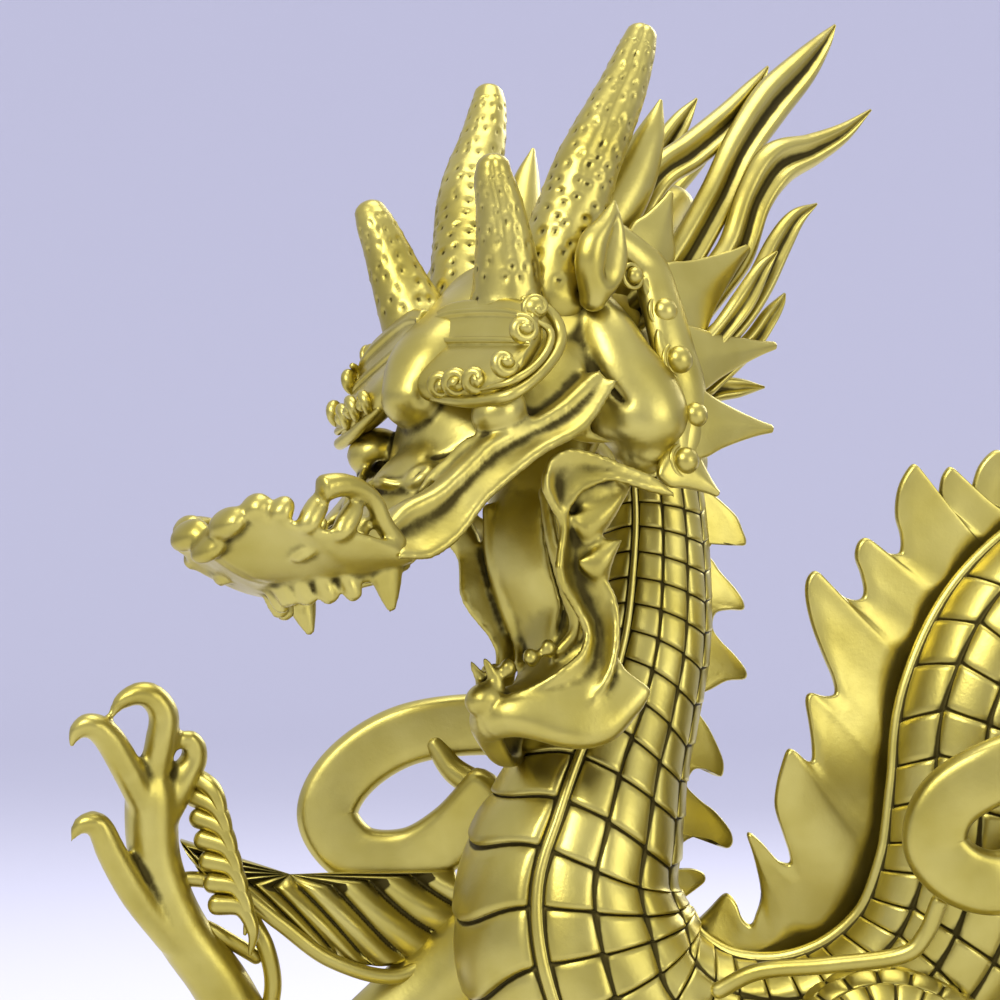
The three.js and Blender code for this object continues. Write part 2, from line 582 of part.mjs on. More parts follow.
function makeLegs() {
  const leg = (rows) => limb(rows, { section: circle(8), up: SIDEWAYS });
  const tuft = (path) => flame(path, 6, 0.5, { up: SIDEWAYS });
  return [
    // left foreleg, with the scaled shoulder above it
    swelling([-16, -27, 93], [31, 15, 24], { turn: [0, 12, 0] }),
    leg([[-12, -26, 84, 17, 16], [8, -42, 68, 12, 13], [-4, -49, 50, 9, 10], [-18, -51, 34, 8, 8],
      [-22, -51, 22, 8, 8]]),
    tuft([[4, -42, 70], [18, -46, 64], [30, -48, 70], [38, -48, 82]]),
    ...makeFoot([-24, -51], 180),
    // left hind leg
    swelling([134, -24, 106], [27, 18, 32], { turn: [0, -18, 0] }),
    leg([[130, -26, 96, 18, 18], [112, -42, 74, 13, 14], [122, -50, 54, 9, 10], [136, -50, 42, 8, 9],
      [128, -49, 24, 8, 8]]),
    tuft([[128, -48, 50], [142, -50, 44], [156, -50, 50], [164, -49, 62]]),
    ...makeFoot([126, -49], 180),
    // right hind leg, set further back
    swelling([150, 16, 102], [26, 18, 30], { turn: [0, -18, 0] }),
    leg([[150, 18, 92, 18, 18], [138, 36, 72, 13, 14], [150, 46, 54, 9, 10], [165, 47, 42, 8, 9],
      [158, 46, 24, 8, 8]]),
    tuft([[156, 45, 50], [170, 47, 44], [184, 47, 50], [191, 46, 62]]),
    ...makeFoot([156, 46], 180),
  ];
}

// ---------------------------------------------------------------- scrolls and flames on the body
// A scroll is a grooved band, two rolls side by side, curling round an open middle.
const TWO_ROLLS = [[-1, 0], [-0.62, 0.95], [0, 0.4], [0.62, 0.95], [1, 0], [0.62, -0.95], [-0.62, -0.95]];
const scroll = (path, half, thick) => limb(path.map(([x, y, z], i) => {
  const root = i === 0 || i === path.length - 1 ? 0.8 : 1;
  return [x, y, z, half * root, thick];
}), { up: SIDEWAYS, steps: 2, section: TWO_ROLLS });

function makeScrolls() {
  const right = [[-112, 25, 182], [-134, 37, 186], [-160, 38, 183], [-178, 38, 172], [-185, 37, 158],
    [-176, 36, 146],
    [-160, 35, 145], [-146, 32, 153], [-134, 26, 166]];
  const smallRing = [[-124, 22, 166], [-140, 30, 166], [-146, 31, 156], [-142, 30, 146], [-126, 22, 140]];
  const left = [[40, -20, 191], [33, -46, 182], [13, -53, 177], [-2, -53, 168], [-6, -52, 156],
    [1, -51, 147],
    [13, -49, 144], [27, -44, 149], [31, -28, 156]];
  return [
    scroll(right, 9.5, 5),
    scroll(left, 9.5, 6),
    limb(smallRing.map((p) => [...p, 2.4, 2.4]), { up: SIDEWAYS, section: circle(5) }),
    limb([[-152, 35, 180, 3, 3], [-146, 33, 172, 4, 4], [-128, 24, 160, 8, 9]], { up: SIDEWAYS }),
    // the flame that climbs from the left shoulder to the scroll
    flame([[-66, -26, 106], [-44, -34, 116], [-20, -39, 121], [-6, -42, 134], [0, -46, 150]],
      5, 0.8, { up: SIDEWAYS }),
  ];
}

// The tail ends in a tuft of flames, ridged on the left and the right.
const TUFT_SECTION = [[0, 0.62], [1, 0], [0, -0.62], [-1, 0]];
const TUFT = [
  [[203, 22, 206], [192, 24, 238], [197, 24, 264], [187, 25, 290]],
  [[203, 22, 206], [208, 22, 234], [220, 20, 250], [217, 19, 272]],
  [[204, 22, 204], [183, 25, 224], [175, 27, 244], [160, 28, 256]],
];
const makeTailTuft = () => TUFT.map((path) => flame(path, 8, 1.2, { up: SIDEWAYS, section: TUFT_SECTION }));

// ---------------------------------------------------------------- the plinth
// Rings of a rounded rectangle, drawn in and out by [inset, height]: a foot, a hollow and a top bead.
const PLINTH_PROFILE = [[0, 0], [0, 4.5], [6, 7.5], [8, 12], [3.5, 14], [4, PLINTH_HEIGHT]];
const CORNER_STEPS = 4;
function makePlinth() {
  const ring = ([inset, z]) => {
    const halfLength = PLINTH_LENGTH / 2 - inset;
    const halfWidth = PLINTH_WIDTH / 2 - inset;
    const corner = PLINTH_CORNER - inset;
    const points = [];
    [[1, 1, 0], [-1, 1, 90], [-1, -1, 180], [1, -1, 270]].forEach(([sx, sy, start]) => {
      for (let k = 0; k <= CORNER_STEPS; k++) {
        const a = rad(start + (90 * k) / CORNER_STEPS);
        points.push(new THREE.Vector3(
          sx * (halfLength - corner) + Math.cos(a) * corner,
          sy * (halfWidth - corner) + Math.sin(a) * corner,
          z,
        ));
      }
    });
    return points;
  };
  return skin(PLINTH_PROFILE.map(ring));
}

// ---------------------------------------------------------------- the two castings
// Nothing of the dragon reaches below the plinth's top, so its feet are flat there.
function belowPlinthTop() {
  const block = new THREE.BoxGeometry(800, 400, 100).translate(0, 0, PLINTH_HEIGHT - 50);
  return solidOf(block);
}

// Draws short and nearly flat edges together, the flattest first, until few enough triangles are
// left. An edge goes only where the surface stays closed, no face turns over, and the sum of the
// squared distances to the faces it came from stays under slack squared.
function thinned(made, target, slack) {
  const mesh = made.getMesh();
  const points = [];
  for (let i = 0; i < mesh.vertProperties.length; i += 3)
    points.push(vec(mesh.vertProperties.subarray(i, i + 3)));
  const faces = [];
  for (let i = 0; i < mesh.triVerts.length; i += 3) faces.push([...mesh.triVerts.subarray(i, i + 3)]);
  const around = points.map(() => new Set());
  const planes = points.map(() => []);
  const normalOf = ([a, b, c]) => new THREE.Vector3()
    .crossVectors(points[b].clone().sub(points[a]), points[c].clone().sub(points[a]));
  faces.forEach((face, f) => {
    const normal = normalOf(face).normalize();
    face.forEach((v) => {
      around[v].add(f);
      planes[v].push([normal, -normal.dot(points[face[0]])]);
    });
  });
  const strain = (a, b, at) => [...planes[a],
    ...planes[b]].reduce((sum, [n, d]) => sum + (n.dot(at) + d) ** 2, 0);
  const neighbours = (v) => new Set([...around[v]].flatMap((f) => faces[f]).filter((other) => other !== v));
  const turnsOver = (moved, gone, at) => [...around[moved]].some((f) => {
    const face = faces[f];
    if (face.includes(gone)) return false;
    const before = normalOf(face);
    const [x, y, z] = face.map((v) => (v === moved ? at : points[v]));
    const after = new THREE.Vector3().crossVectors(y.clone().sub(x), z.clone().sub(x));
    return after.length() < 0.02 || before.dot(after) < 0.5 * before.length() * after.length();
  });
  let count = faces.length;
  for (let went = 1; went > 0 && count > target;) {
    went = 0;
    const edges = [];
    around.forEach((own, a) => {
      if (own.size === 0) return;
      neighbours(a).forEach((b) => {
        if (b < a) return;
        const choices = [points[a], points[b], points[a].clone().lerp(points[b], 0.5)];
        const costs = choices.map((p) => strain(a, b, p));
        const best = costs.indexOf(Math.min(...costs));
        if (costs[best] < slack * slack) edges.push([costs[best], a, b, choices[best].clone()]);
      });
    });
    edges.sort((p, q) => p[0] - q[0] || p[1] - q[1] || p[2] - q[2]);
    const touched = new Set();
    for (const [, a, b, at] of edges) {
      if (count <= target) break;
      if (touched.has(a) || touched.has(b)) continue;
      const nearB = neighbours(b);
      const nearA = neighbours(a);
      if ([...nearA].filter((v) => nearB.has(v)).length !== 2) continue;
      if (turnsOver(a, b, at) || turnsOver(b, a, at)) continue;
      [...around[b]].forEach((f) => {
        if (faces[f].includes(a)) {
          faces[f].forEach((v) => around[v].delete(f));
          faces[f] = null;
          count -= 1;
        } else {
          faces[f] = faces[f].map((v) => (v === b ? a : v));
          around[a].add(f);
        }
      });
      around[b].clear();
      points[a].copy(at);
      planes[a].push(...planes[b]);
      [a, b, ...nearA, ...nearB].forEach((v) => touched.add(v));
      went += 1;
    }
  }
  return solid(points, faces.filter((face) => face !== null));
}

const FINE_BODY = 436; // the plates are closest as far as this; the arch and hindquarters are plainer
const dragonSolid = wasm.Manifold.union([
  makeBody(0, FINE_BODY, 1),
  makeBody(FINE_BODY - 12, BODY_LENGTH - 4, 1.7),
  ...makeCrest(), ...makeSkull(), ...makeHorns(), ...makeUpperLip(), ...makeLowerJaw(), ...makeFrill(),
    ...makeMane(),
  ...makeRaisedLeg(), ...makeFringe(), ...makeLegs(), ...makeScrolls(), ...makeTailTuft(),
]).subtract(belowPlinthTop());
const FEWEST_TRIANGLES = 9600;
const SLACK = 1; // mm

function meshOf(name, made) {
  const { vertProperties, triVerts } = made.getMesh();
  const geometry = new THREE.BufferGeometry();
  geometry.setAttribute("position", new THREE.BufferAttribute(new Float32Array(vertProperties), 3));
  geometry.setIndex(new THREE.BufferAttribute(triVerts, 1));
  const brass = new THREE.MeshStandardMaterial({ color: "#b9a63a", roughness: 0.35, metalness: 1 });
  const mesh = new THREE.Mesh(geometry, brass);
  mesh.name = name;
  return mesh;
}

const group = new THREE.Group();
group.add(meshOf("dragon", thinned(dragonSolid, FEWEST_TRIANGLES, SLACK)), meshOf("plinth", makePlinth()));

export default group;
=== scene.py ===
# A cast brass dragon on a low plinth: a long scaled body, a horned head with a flaming mane, one
# raised foreleg and three standing feet. Shapes are worked out in millimetres and put into metres.
import math

import bpy
import numpy as np
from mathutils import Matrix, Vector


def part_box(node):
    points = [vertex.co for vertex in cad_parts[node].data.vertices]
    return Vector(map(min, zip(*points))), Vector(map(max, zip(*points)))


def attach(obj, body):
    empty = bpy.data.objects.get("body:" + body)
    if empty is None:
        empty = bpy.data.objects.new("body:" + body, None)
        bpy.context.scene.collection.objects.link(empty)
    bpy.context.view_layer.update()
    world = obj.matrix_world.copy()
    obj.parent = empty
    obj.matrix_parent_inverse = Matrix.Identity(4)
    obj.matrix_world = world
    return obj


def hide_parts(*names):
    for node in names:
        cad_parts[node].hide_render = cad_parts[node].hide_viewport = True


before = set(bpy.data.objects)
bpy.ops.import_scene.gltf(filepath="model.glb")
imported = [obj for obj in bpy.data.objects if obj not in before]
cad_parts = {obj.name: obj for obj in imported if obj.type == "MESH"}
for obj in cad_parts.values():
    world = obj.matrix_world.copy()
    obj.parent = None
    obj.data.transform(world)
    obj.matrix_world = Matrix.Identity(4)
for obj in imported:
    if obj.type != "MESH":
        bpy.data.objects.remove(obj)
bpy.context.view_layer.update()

# ------------------------------------------------------------------ the scaled body
# The real piece is the dragon's long hollow trunk, lost-wax cast in yellow brass. Rows of tiles
# cover its sides, a raised rim edges the broad belly plates, and each overlaps the next one
# towards the tail. The scales were cut in the wax and sharpened with a punch after casting.
STATIONS = np.array([  # x, y, z, half width, half depth, twist of the back in degrees
    [-89, 13, 280, 14, 15, -20], [-86, 15, 255, 16, 16, -20], [-86, 14, 234, 18, 18, -20],
    [-88, 11, 213, 20, 20, -20], [-93, 7, 194, 22, 22, -20], [-100, 3, 177, 26, 26, -20],
    [-106, 0, 159, 31, 30, -21], [-111, -1, 140, 35, 34, -22], [-108, -1, 119, 37, 37, -22],
    [-95, 0, 100, 37, 36, -12], [-72, 2, 90, 35, 34, 2], [-46, 3, 90, 34, 33, 10],
    [-22, 3, 99, 33, 33, 14], [-3, 2, 118, 32, 32, 16], [7, 1, 142, 32, 32, 16],
    [10, 2, 167, 31, 31, 16], [13, 5, 191, 31, 31, 16], [25, 9, 214, 30, 31, 14],
    [45, 12, 230, 30, 30, 10], [70, 13, 233, 29, 30, 5], [93, 11, 220, 28, 29, 2],
    [107, 7, 197, 28, 28, 0], [114, 2, 170, 28, 28, 0], [121, -3, 143, 29, 29, 0],
    [135, -6, 118, 30, 30, 0], [158, -6, 101, 28, 29, 0], [185, -3, 98, 23, 24, 0],
    [209, 3, 109, 18, 19, 0], [224, 10, 131, 14, 15, 0], [227, 16, 156, 11, 12, 0],
    [219, 20, 180, 9, 9, 0], [206, 22, 201, 7, 7, 0], [198, 23, 222, 5, 5, 0],
], float)


def through(rows, at):
    """A smooth curve through rows of numbers: the Catmull-Rom cubic of the four nearest rows,
    read at places counted in rows. at may have any shape."""
    rows, at = np.asarray(rows, float), np.asarray(at, float)
    last = len(rows) - 1
    i = np.clip(np.floor(at).astype(int), 0, last - 1)
    f = (at - i)[..., None]
    a, b = rows[i], rows[i + 1]
    before = np.where((i > 0)[..., None], rows[np.maximum(i - 1, 0)], 2 * a - b)
    after = np.where((i + 2 <= last)[..., None], rows[np.minimum(i + 2, last)], 2 * b - a)
    out, into = (b - before) / 2, (after - a) / 2
    return ((2 * f**3 - 3 * f**2 + 1) * a + (f**3 - 2 * f**2 + f) * out
            + (3 * f**2 - 2 * f**3) * b + (f**3 - f**2) * into)


def unit(v):
    """Vectors divided by their own length."""
    return v / np.maximum(np.linalg.norm(v, axis=-1, keepdims=True), 1e-9)


def ramp(low, high, x):
    """0 below low, 1 above high, and the cubic 3t^2 - 2t^3 in between."""
    t = np.clip((x - low) / (high - low), 0, 1)
    return t * t * (3 - 2 * t)


BODY_PLACES = np.linspace(0, len(STATIONS) - 1, 1200)
BODY_STEPS = np.linalg.norm(np.diff(through(STATIONS, BODY_PLACES)[:, :3], axis=0), axis=1)
BODY_LENGTHS = np.concatenate([[0], np.cumsum(BODY_STEPS)])
BODY_LENGTH = BODY_LENGTHS[-1]


def on_body(distance):
    """The body's centre, direction, back, left, half width and half depth at distances from the
    skull. The back is square to the path in the upright plane, turned by the station's twist."""
    place = np.interp(distance, BODY_LENGTHS, BODY_PLACES)
    row = through(STATIONS, place)
    ahead = through(STATIONS, np.minimum(place + 0.02, len(STATIONS) - 1))[..., :3]
    along = unit(ahead - through(STATIONS, np.maximum(place - 0.02, 0))[..., :3])
    flat_back = unit(np.cross(along, [0.0, 1.0, 0.0]))
    flat_left = np.cross(along, flat_back)
    turn = np.radians(row[..., 5])[..., None]
    back = flat_back * np.cos(turn) + flat_left * np.sin(turn)
    return row[..., :3], along, back, np.cross(along, back), row[..., 3:4], row[..., 4:5]


def rings_shell(rings):
    """A closed skin over rings of points, each ring joined to the next one and round to its own
    start, with a fan of triangles to the middle of each end ring."""
    count, around = rings.shape[:2]
    index = np.arange(count * around).reshape(count, around)
    beside = np.roll(index, -1, axis=1)
    quads = np.stack([index[:-1], beside[:-1], beside[1:], index[1:]], -1).reshape(-1, 4)
    first, last = np.full(around, count * around), np.full(around, count * around + 1)
    tris = np.concatenate([np.stack([first, beside[0], index[0]], -1),
                           np.stack([last, index[-1], beside[-1]], -1)])
    points = np.concatenate([rings.reshape(-1, 3), rings[0].mean(0)[None], rings[-1].mean(0)[None]])
    return points, quads, tris


def outward(shell):
    """The same shell with its faces turned outwards: the sum of the boxes that its triangles
    span with the origin is six times the volume, and is negative when the faces look inwards."""
    points, quads, tris = shell
    every = np.concatenate([quads[:, :3], quads[:, [0, 2, 3]], tris])
    a, b, c = (points[every[:, k]] for k in range(3))
    if np.einsum("ij,ij->i", a, np.cross(b, c)).sum() < 0:
        return points, quads[:, ::-1], tris[:, ::-1]
    return shell


def points_of(mesh):
    """A mesh's points in millimetres."""
    flat = np.empty(len(mesh.vertices) * 3, np.float32)
    mesh.vertices.foreach_get("co", flat)
    return flat.reshape(-1, 3).astype(float) * 1000


def normals_of(mesh):
    """The directions that a mesh's points face."""
    flat = np.empty(len(mesh.vertices) * 3, np.float32)
    mesh.vertex_normals.foreach_get("vector", flat)
    return flat.reshape(-1, 3)


def averaged(mesh, points, rounds):
    """The points, each moved to the middle of its neighbours, a few times over."""
    edges = np.empty(len(mesh.edges) * 2, np.int32)
    mesh.edges.foreach_get("vertices", edges)
    a, b = edges.reshape(-1, 2).T
    total = np.maximum(np.bincount(np.concatenate([a, b]), minlength=len(points)), 1)[:, None]
    for _ in range(rounds):
        points = np.stack([np.bincount(a, points[b, k], len(points))
                           + np.bincount(b, points[a, k], len(points)) for k in range(3)], -1) / total
    return points


def hollow_depth(mesh, points, rounds=9):
    """How far below its surroundings each point lies, in millimetres: the averaged surface is
    compared with the real one along the normal."""
    return ((averaged(mesh, points, rounds) - points) * normals_of(mesh)).sum(1)


def mesh_of(name, shells):
    """One object from shells given in millimetres, smooth shaded."""
    shells = [outward(s) for s in shells]
    starts = np.cumsum([0] + [len(s[0]) for s in shells])
    points = np.concatenate([s[0] for s in shells])
    quads = np.concatenate([s[1] + o for s, o in zip(shells, starts)])
    tris = np.concatenate([s[2] + o for s, o in zip(shells, starts)])
    corners = np.concatenate([quads.ravel(), tris.ravel()]).astype(np.int32)
    sizes = np.concatenate([np.full(len(quads), 4), np.full(len(tris), 3)])
    mesh = bpy.data.meshes.new(name)
    mesh.vertices.add(len(points))
    mesh.vertices.foreach_set("co", (points * 0.001).astype(np.float32).ravel())
    mesh.loops.add(len(corners))
    mesh.loops.foreach_set("vertex_index", corners)
    mesh.polygons.add(len(sizes))
    mesh.polygons.foreach_set("loop_start", np.concatenate([[0], np.cumsum(sizes)[:-1]]).astype(np.int32))
    mesh.polygons.foreach_set("use_smooth", np.ones(len(sizes), bool))
    mesh.update(calc_edges=True)
    piece = bpy.data.objects.new(name, mesh)
    bpy.context.scene.collection.objects.link(piece)
    return piece


def linear(code):
    """An sRGB hex colour as the linear numbers that a shader takes."""
    parts = np.array([int(code[i:i + 2], 16) for i in (1, 3, 5)]) / 255
    return (*np.where(parts <= 0.04045, parts / 12.92, ((parts + 0.055) / 1.055) ** 2.4), 1.0)


def add_node(tree, kind, settings=None, links=None):
    """A node of a kind, with its settings and input values, and links given as input: output."""
    node = tree.nodes.new(kind)
    for key, value in (settings or {}).items():
        if isinstance(key, str) and hasattr(node, key):
            setattr(node, key, value)
        else:
            node.inputs[key].default_value = value
    for key, output in (links or {}).items():
        tree.links.new(output, node.inputs[key])
    return node


def cast_brass(name, polished, patina_and_shade, pit_size=2.6):
    """Cast yellow brass, rubbed back to a satin shine over a dark olive patina. The rubbing
    reaches the high places only, so the hollows stay dull, and their dark colour is patina and
    painted shade together; faint tool marks and casting pits break up the shine. Brass is a
    metal, so its colour is in its reflections."""
    material = bpy.data.materials.new(name)
    material.use_nodes = True
    tree = material.node_tree
    tree.nodes.clear()
    place = add_node(tree, "ShaderNodeTexCoord").outputs["Object"]
    hollow = add_node(tree, "ShaderNodeAttribute", {"attribute_name": "hollow"}).outputs["Fac"]
    # cloudy tone over about 25 mm, and mottling over about 4 mm where polish wore unevenly
    cloud = add_node(tree, "ShaderNodeTexNoise", {"Scale": 1 / 0.025, "Detail": 3.0}, {"Vector": place})
    mottle = add_node(tree, "ShaderNodeTexNoise", {"Scale": 1 / 0.004, "Detail": 4.0}, {"Vector": place})
    # the depth of the hollows, shifted by the mottling, sets how dark each place is: patina, and painted shade in the
    # hollows
    depth = add_node(tree, "ShaderNodeMath", {"operation": "MULTIPLY_ADD", 1: 0.25},
                     {0: mottle.outputs["Fac"], 2: hollow})
    dark = add_node(tree, "ShaderNodeMapRange", {"interpolation_type": "SMOOTHSTEP", "From Min": 0.16, "From Max": 0.55},
                    {"Value": depth.outputs[0]})
    tone = add_node(tree, "ShaderNodeValToRGB", {}, {"Fac": cloud.outputs["Fac"]})
    tone.color_ramp.elements[0].position, tone.color_ramp.elements[0].color = 0.3, linear(polished[0])
    tone.color_ramp.elements[1].position, tone.color_ramp.elements[1].color = 0.7, linear(polished[1])
    # the dark colour mixed in over the hollows is patina and painted shade together
    colour = add_node(tree, "ShaderNodeMix", {"data_type": "RGBA"}, {"Factor": dark.outputs[0]})
    tree.links.new(tone.outputs["Color"], colour.inputs["A"])
    colour.inputs["B"].default_value = linear(patina_and_shade)
    shine = add_node(tree, "ShaderNodeMath", {"operation": "MULTIPLY_ADD", 1: 0.22, 2: 0.3},
                     {0: dark.outputs[0]})
    rough = add_node(tree, "ShaderNodeMath", {"operation": "MULTIPLY_ADD", 1: 0.12},
                     {0: mottle.outputs["Fac"], 2: shine.outputs[0]})
    # pits left by sand grains in the mould: small dents, one to a cell
    pits = add_node(tree, "ShaderNodeTexVoronoi", {"Scale": 1000 / pit_size}, {"Vector": place})
    pit = add_node(tree, "ShaderNodeMapRange", {"From Min": 0.0, "From Max": 0.16}, {"Value": pits.outputs["Distance"]})
    skin = add_node(tree, "ShaderNodeTexNoise", {"Scale": 1 / 0.0012, "Detail": 3.0}, {"Vector": place})
    height = add_node(tree, "ShaderNodeMath", {"operation": "MULTIPLY_ADD", 1: 0.35},
                      {0: pit.outputs[0], 2: skin.outputs["Fac"]})
    bump = add_node(tree, "ShaderNodeBump", {"Strength": 0.35, "Distance": 0.00012}, {"Height": height.outputs[0]})
    shader = add_node(tree, "ShaderNodeBsdfPrincipled", {"Metallic": 1.0},
                      {"Base Color": colour.outputs["Result"], "Roughness": rough.outputs[0],
                       "Normal": bump.outputs["Normal"]})
    add_node(tree, "ShaderNodeOutputMaterial", {}, {"Surface": shader.outputs[0]})
    return material


# 453d1c is the colour of the hollows: their patina and painted shade in one
SATIN_BRASS = cast_brass("satin cast brass", ("#aea04a", "#c3b765"), "#453d1c")


def finish_piece(piece, material=SATIN_BRASS, node="dragon", hollow=None):
    """Notes the hollows for the patina and painted shade, gives the piece its brass, and sets it in the frame."""
    mesh = piece.data
    if hollow is None:
        hollow = hollow_depth(mesh, points_of(mesh))
    mesh.attributes.new("hollow", "FLOAT", "POINT").data.foreach_set("value", hollow.astype(np.float32))
    # the hollow depth darkens the brass in the hollows: patina, and painted shade there
    mesh.materials.append(material)
    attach(piece, "root")
    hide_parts(node)
    return piece


# Round half the body, from the back to the belly: [kind, start, end] in degrees, with how far the
# cross cuts are staggered and slanted there, in plates.
BANDS = [
    ("groove", 0, 9, 0.30, 0.30), ("rail", 9, 17, 0.30, 0.30), ("tile", 17, 46, 0.30, 0.55),
    ("tile", 46, 74, 0.62, 0.42), ("tile", 74, 101, 0.38, 0.16), ("tile", 101, 127, 0.12, 0.0),
    ("rim", 127, 134, 0.0, 0.0), ("plate", 134, 180, 0.0, 0.26),
]
SAMPLES = {
    "groove": [0, 0.45, 0.8], "rail": [0, 0.12, 0.3, 0.5, 0.7, 0.88],
    "tile": [0, 0.035, 0.08, 0.2, 0.4, 0.6, 0.8, 0.92, 0.965],
    "rim": [0, 0.12, 0.3, 0.5, 0.7, 0.88],
    "plate": [0, 0.02, 0.06, 0.14, 0.25, 0.38, 0.52, 0.66, 0.8, 0.92, 1.0],
}
ALONG_PLATE = np.array([0, 0.03, 0.08, 0.2, 0.42, 0.64, 0.85, 0.945, 0.985])


PITCHES = np.array([  # distance from the skull, length of one plate there
    [0, 8.2], [60, 8.8], [100, 11.5], [140, 13.4], [190, 13.6], [230, 12.6], [300, 11.4],
    [430, 11.6], [560, 12.4], [700, 9.5], [800, 5.0]])


def body_relief(kind, across, along):
    """Height of the carving over the plain body, in millimetres where the body is widest. A tile
    is a pillow: a flat-topped bump across, times a slope along that starts low and ends high,
    with a narrow cut round it."""
    cut_along = ramp(0.0, 0.06, along) * (1 - ramp(0.975, 1.0, along))
    if kind == "tile":
        inside = 1 - np.abs(2 * across - 1) ** 9
        pillow = np.sin(np.pi * np.clip(across, 0, 1)) ** 0.6
        return -0.75 + (inside * cut_along) ** 0.8 * (0.75 + 0.75 * along + 0.75 * pillow * (0.4 + 0.6 * along))
    if kind == "plate":
        inside = ramp(0, 0.05, across)
        pillow = np.sin(np.pi * np.clip(along, 0, 1))
        return -0.9 + (inside * cut_along) ** 0.8 * (1.0 + 1.35 * along + 0.5 * pillow)
    if kind == "rim":
        return -0.5 + 2.1 * np.sin(np.pi * across) ** 0.7 + 0 * along
    if kind == "rail":
        return -0.8 + 2.3 * np.sin(np.pi * across) ** 0.6 + 0 * along
    return -1.1 + 0.4 * (1 - across) + 0 * along


def make_body():
    """Rings of points round the path: centre + left sin(a) width + back cos(a) depth, pushed out
    along the same direction by the relief. Distances slide with the angle, so that the cross cuts
    of neighbouring rows are staggered and slant towards the tail."""
    fine = np.linspace(0, BODY_LENGTH, 1500)
    count_at = np.concatenate([[0], np.cumsum(np.diff(fine) / np.interp(fine[:-1], *PITCHES.T))])
    plates = int(count_at[-1])
    counted = (np.arange(plates)[:, None] + ALONG_PLATE).ravel()
    angle, slide, columns = [], [], []
    for kind, start, end, at_start, at_end in BANDS:
        a = np.array(SAMPLES[kind])
        angle.append(start + (end - start) * a)
        if kind == "plate":
            slide.append(at_end * np.sin(np.pi / 2 * a) ** 2)
        else:
            slide.append(at_start + (at_end - at_start) * a)
        columns.append([(kind, x) for x in a])
    angle, slide = np.concatenate(angle), np.concatenate(slide)
    kinds = [c for group in columns for c in group]
    back_again = slice(-2, 0, -1)
    angle = np.radians(np.concatenate([angle, 360 - angle[back_again]]))
    slide = np.concatenate([slide, slide[back_again]])
    kinds += kinds[back_again]
    at = np.clip(counted[:, None] + slide[None], 0, count_at[-1] - 0.01)
    distance = np.interp(at, count_at, fine)
    centre, _, back, left, wide, deep = on_body(distance)
    fraction = counted - np.floor(counted)
    relief = np.stack([body_relief(kind, x, fraction) for kind, x in kinds], -1)
    size = np.clip(deep[..., 0] / 32, 0.2, 1.05)
    push = 0.965 + (relief * size)[..., None] / deep
    sideways, upwards = np.sin(angle)[None, :, None], np.cos(angle)[None, :, None]
    skin = rings_shell(centre + left * sideways * wide * push + back * upwards * deep * push)
    # the second array says how deep each point lies in the cuts; the brass darkens it there, as patina and painted
    # shade
    return skin, np.append(0.35 - 1.1 * relief, [0, 0])


body_skin, body_hollow = make_body()
finish_piece(mesh_of("scaled_body", [body_skin]), hollow=body_hollow)
# ------------------------------------------------------------------ the crest
# The real piece is a thin fin along the whole back, cast in one with the body: hooked teeth with
# squared edges, whose flanks are scraped smooth. It stands in the groove between the two rails.
NECK_FIN = np.array([  # distance of the foot from the skull, then x and z of the fin's edge
    [6, -73, 276], [16, -71, 266], [24, -68, 258], [28, -64, 254], [31, -60, 250], [34, -58, 245.5],
    [36, -57, 242.5], [37.5, -58, 241], [38.5, -63, 242], [39.5, -67, 242], [41, -69, 239],
    [43, -67, 236], [46, -65, 233], [50, -60.5, 228], [53, -58, 224], [54, -58, 221.5],
    [55.5, -62, 221.5], [57, -66.5, 220.5], [60, -67.5, 216], [63, -65, 212], [66, -61, 208],
    [70, -57.5, 203.5], [71.5, -57.5, 200.5], [74, -63, 200], [77, -68, 197.5], [80, -72, 195.5],
    [83, -72.5, 191.5], [86, -69, 186], [90, -66, 180], [93, -64.3, 175], [95, -65, 171],
    [97, -69, 173], [99, -73, 173.5], [101, -75, 171], [103, -75.5, 168], [106, -71, 163.5],
    [109, -67, 160.5], [114, -62.5, 155], [117, -61.5, 151], [119, -63.5, 149.3],
    [121, -68, 152], [124, -74, 153], [128, -79, 149], [134, -79, 144], [138, -74, 143.5],
    [142, -70.5, 142], [145, -70, 139.5], [149, -73, 137], [155, -77, 134], [162, -78, 131],
])
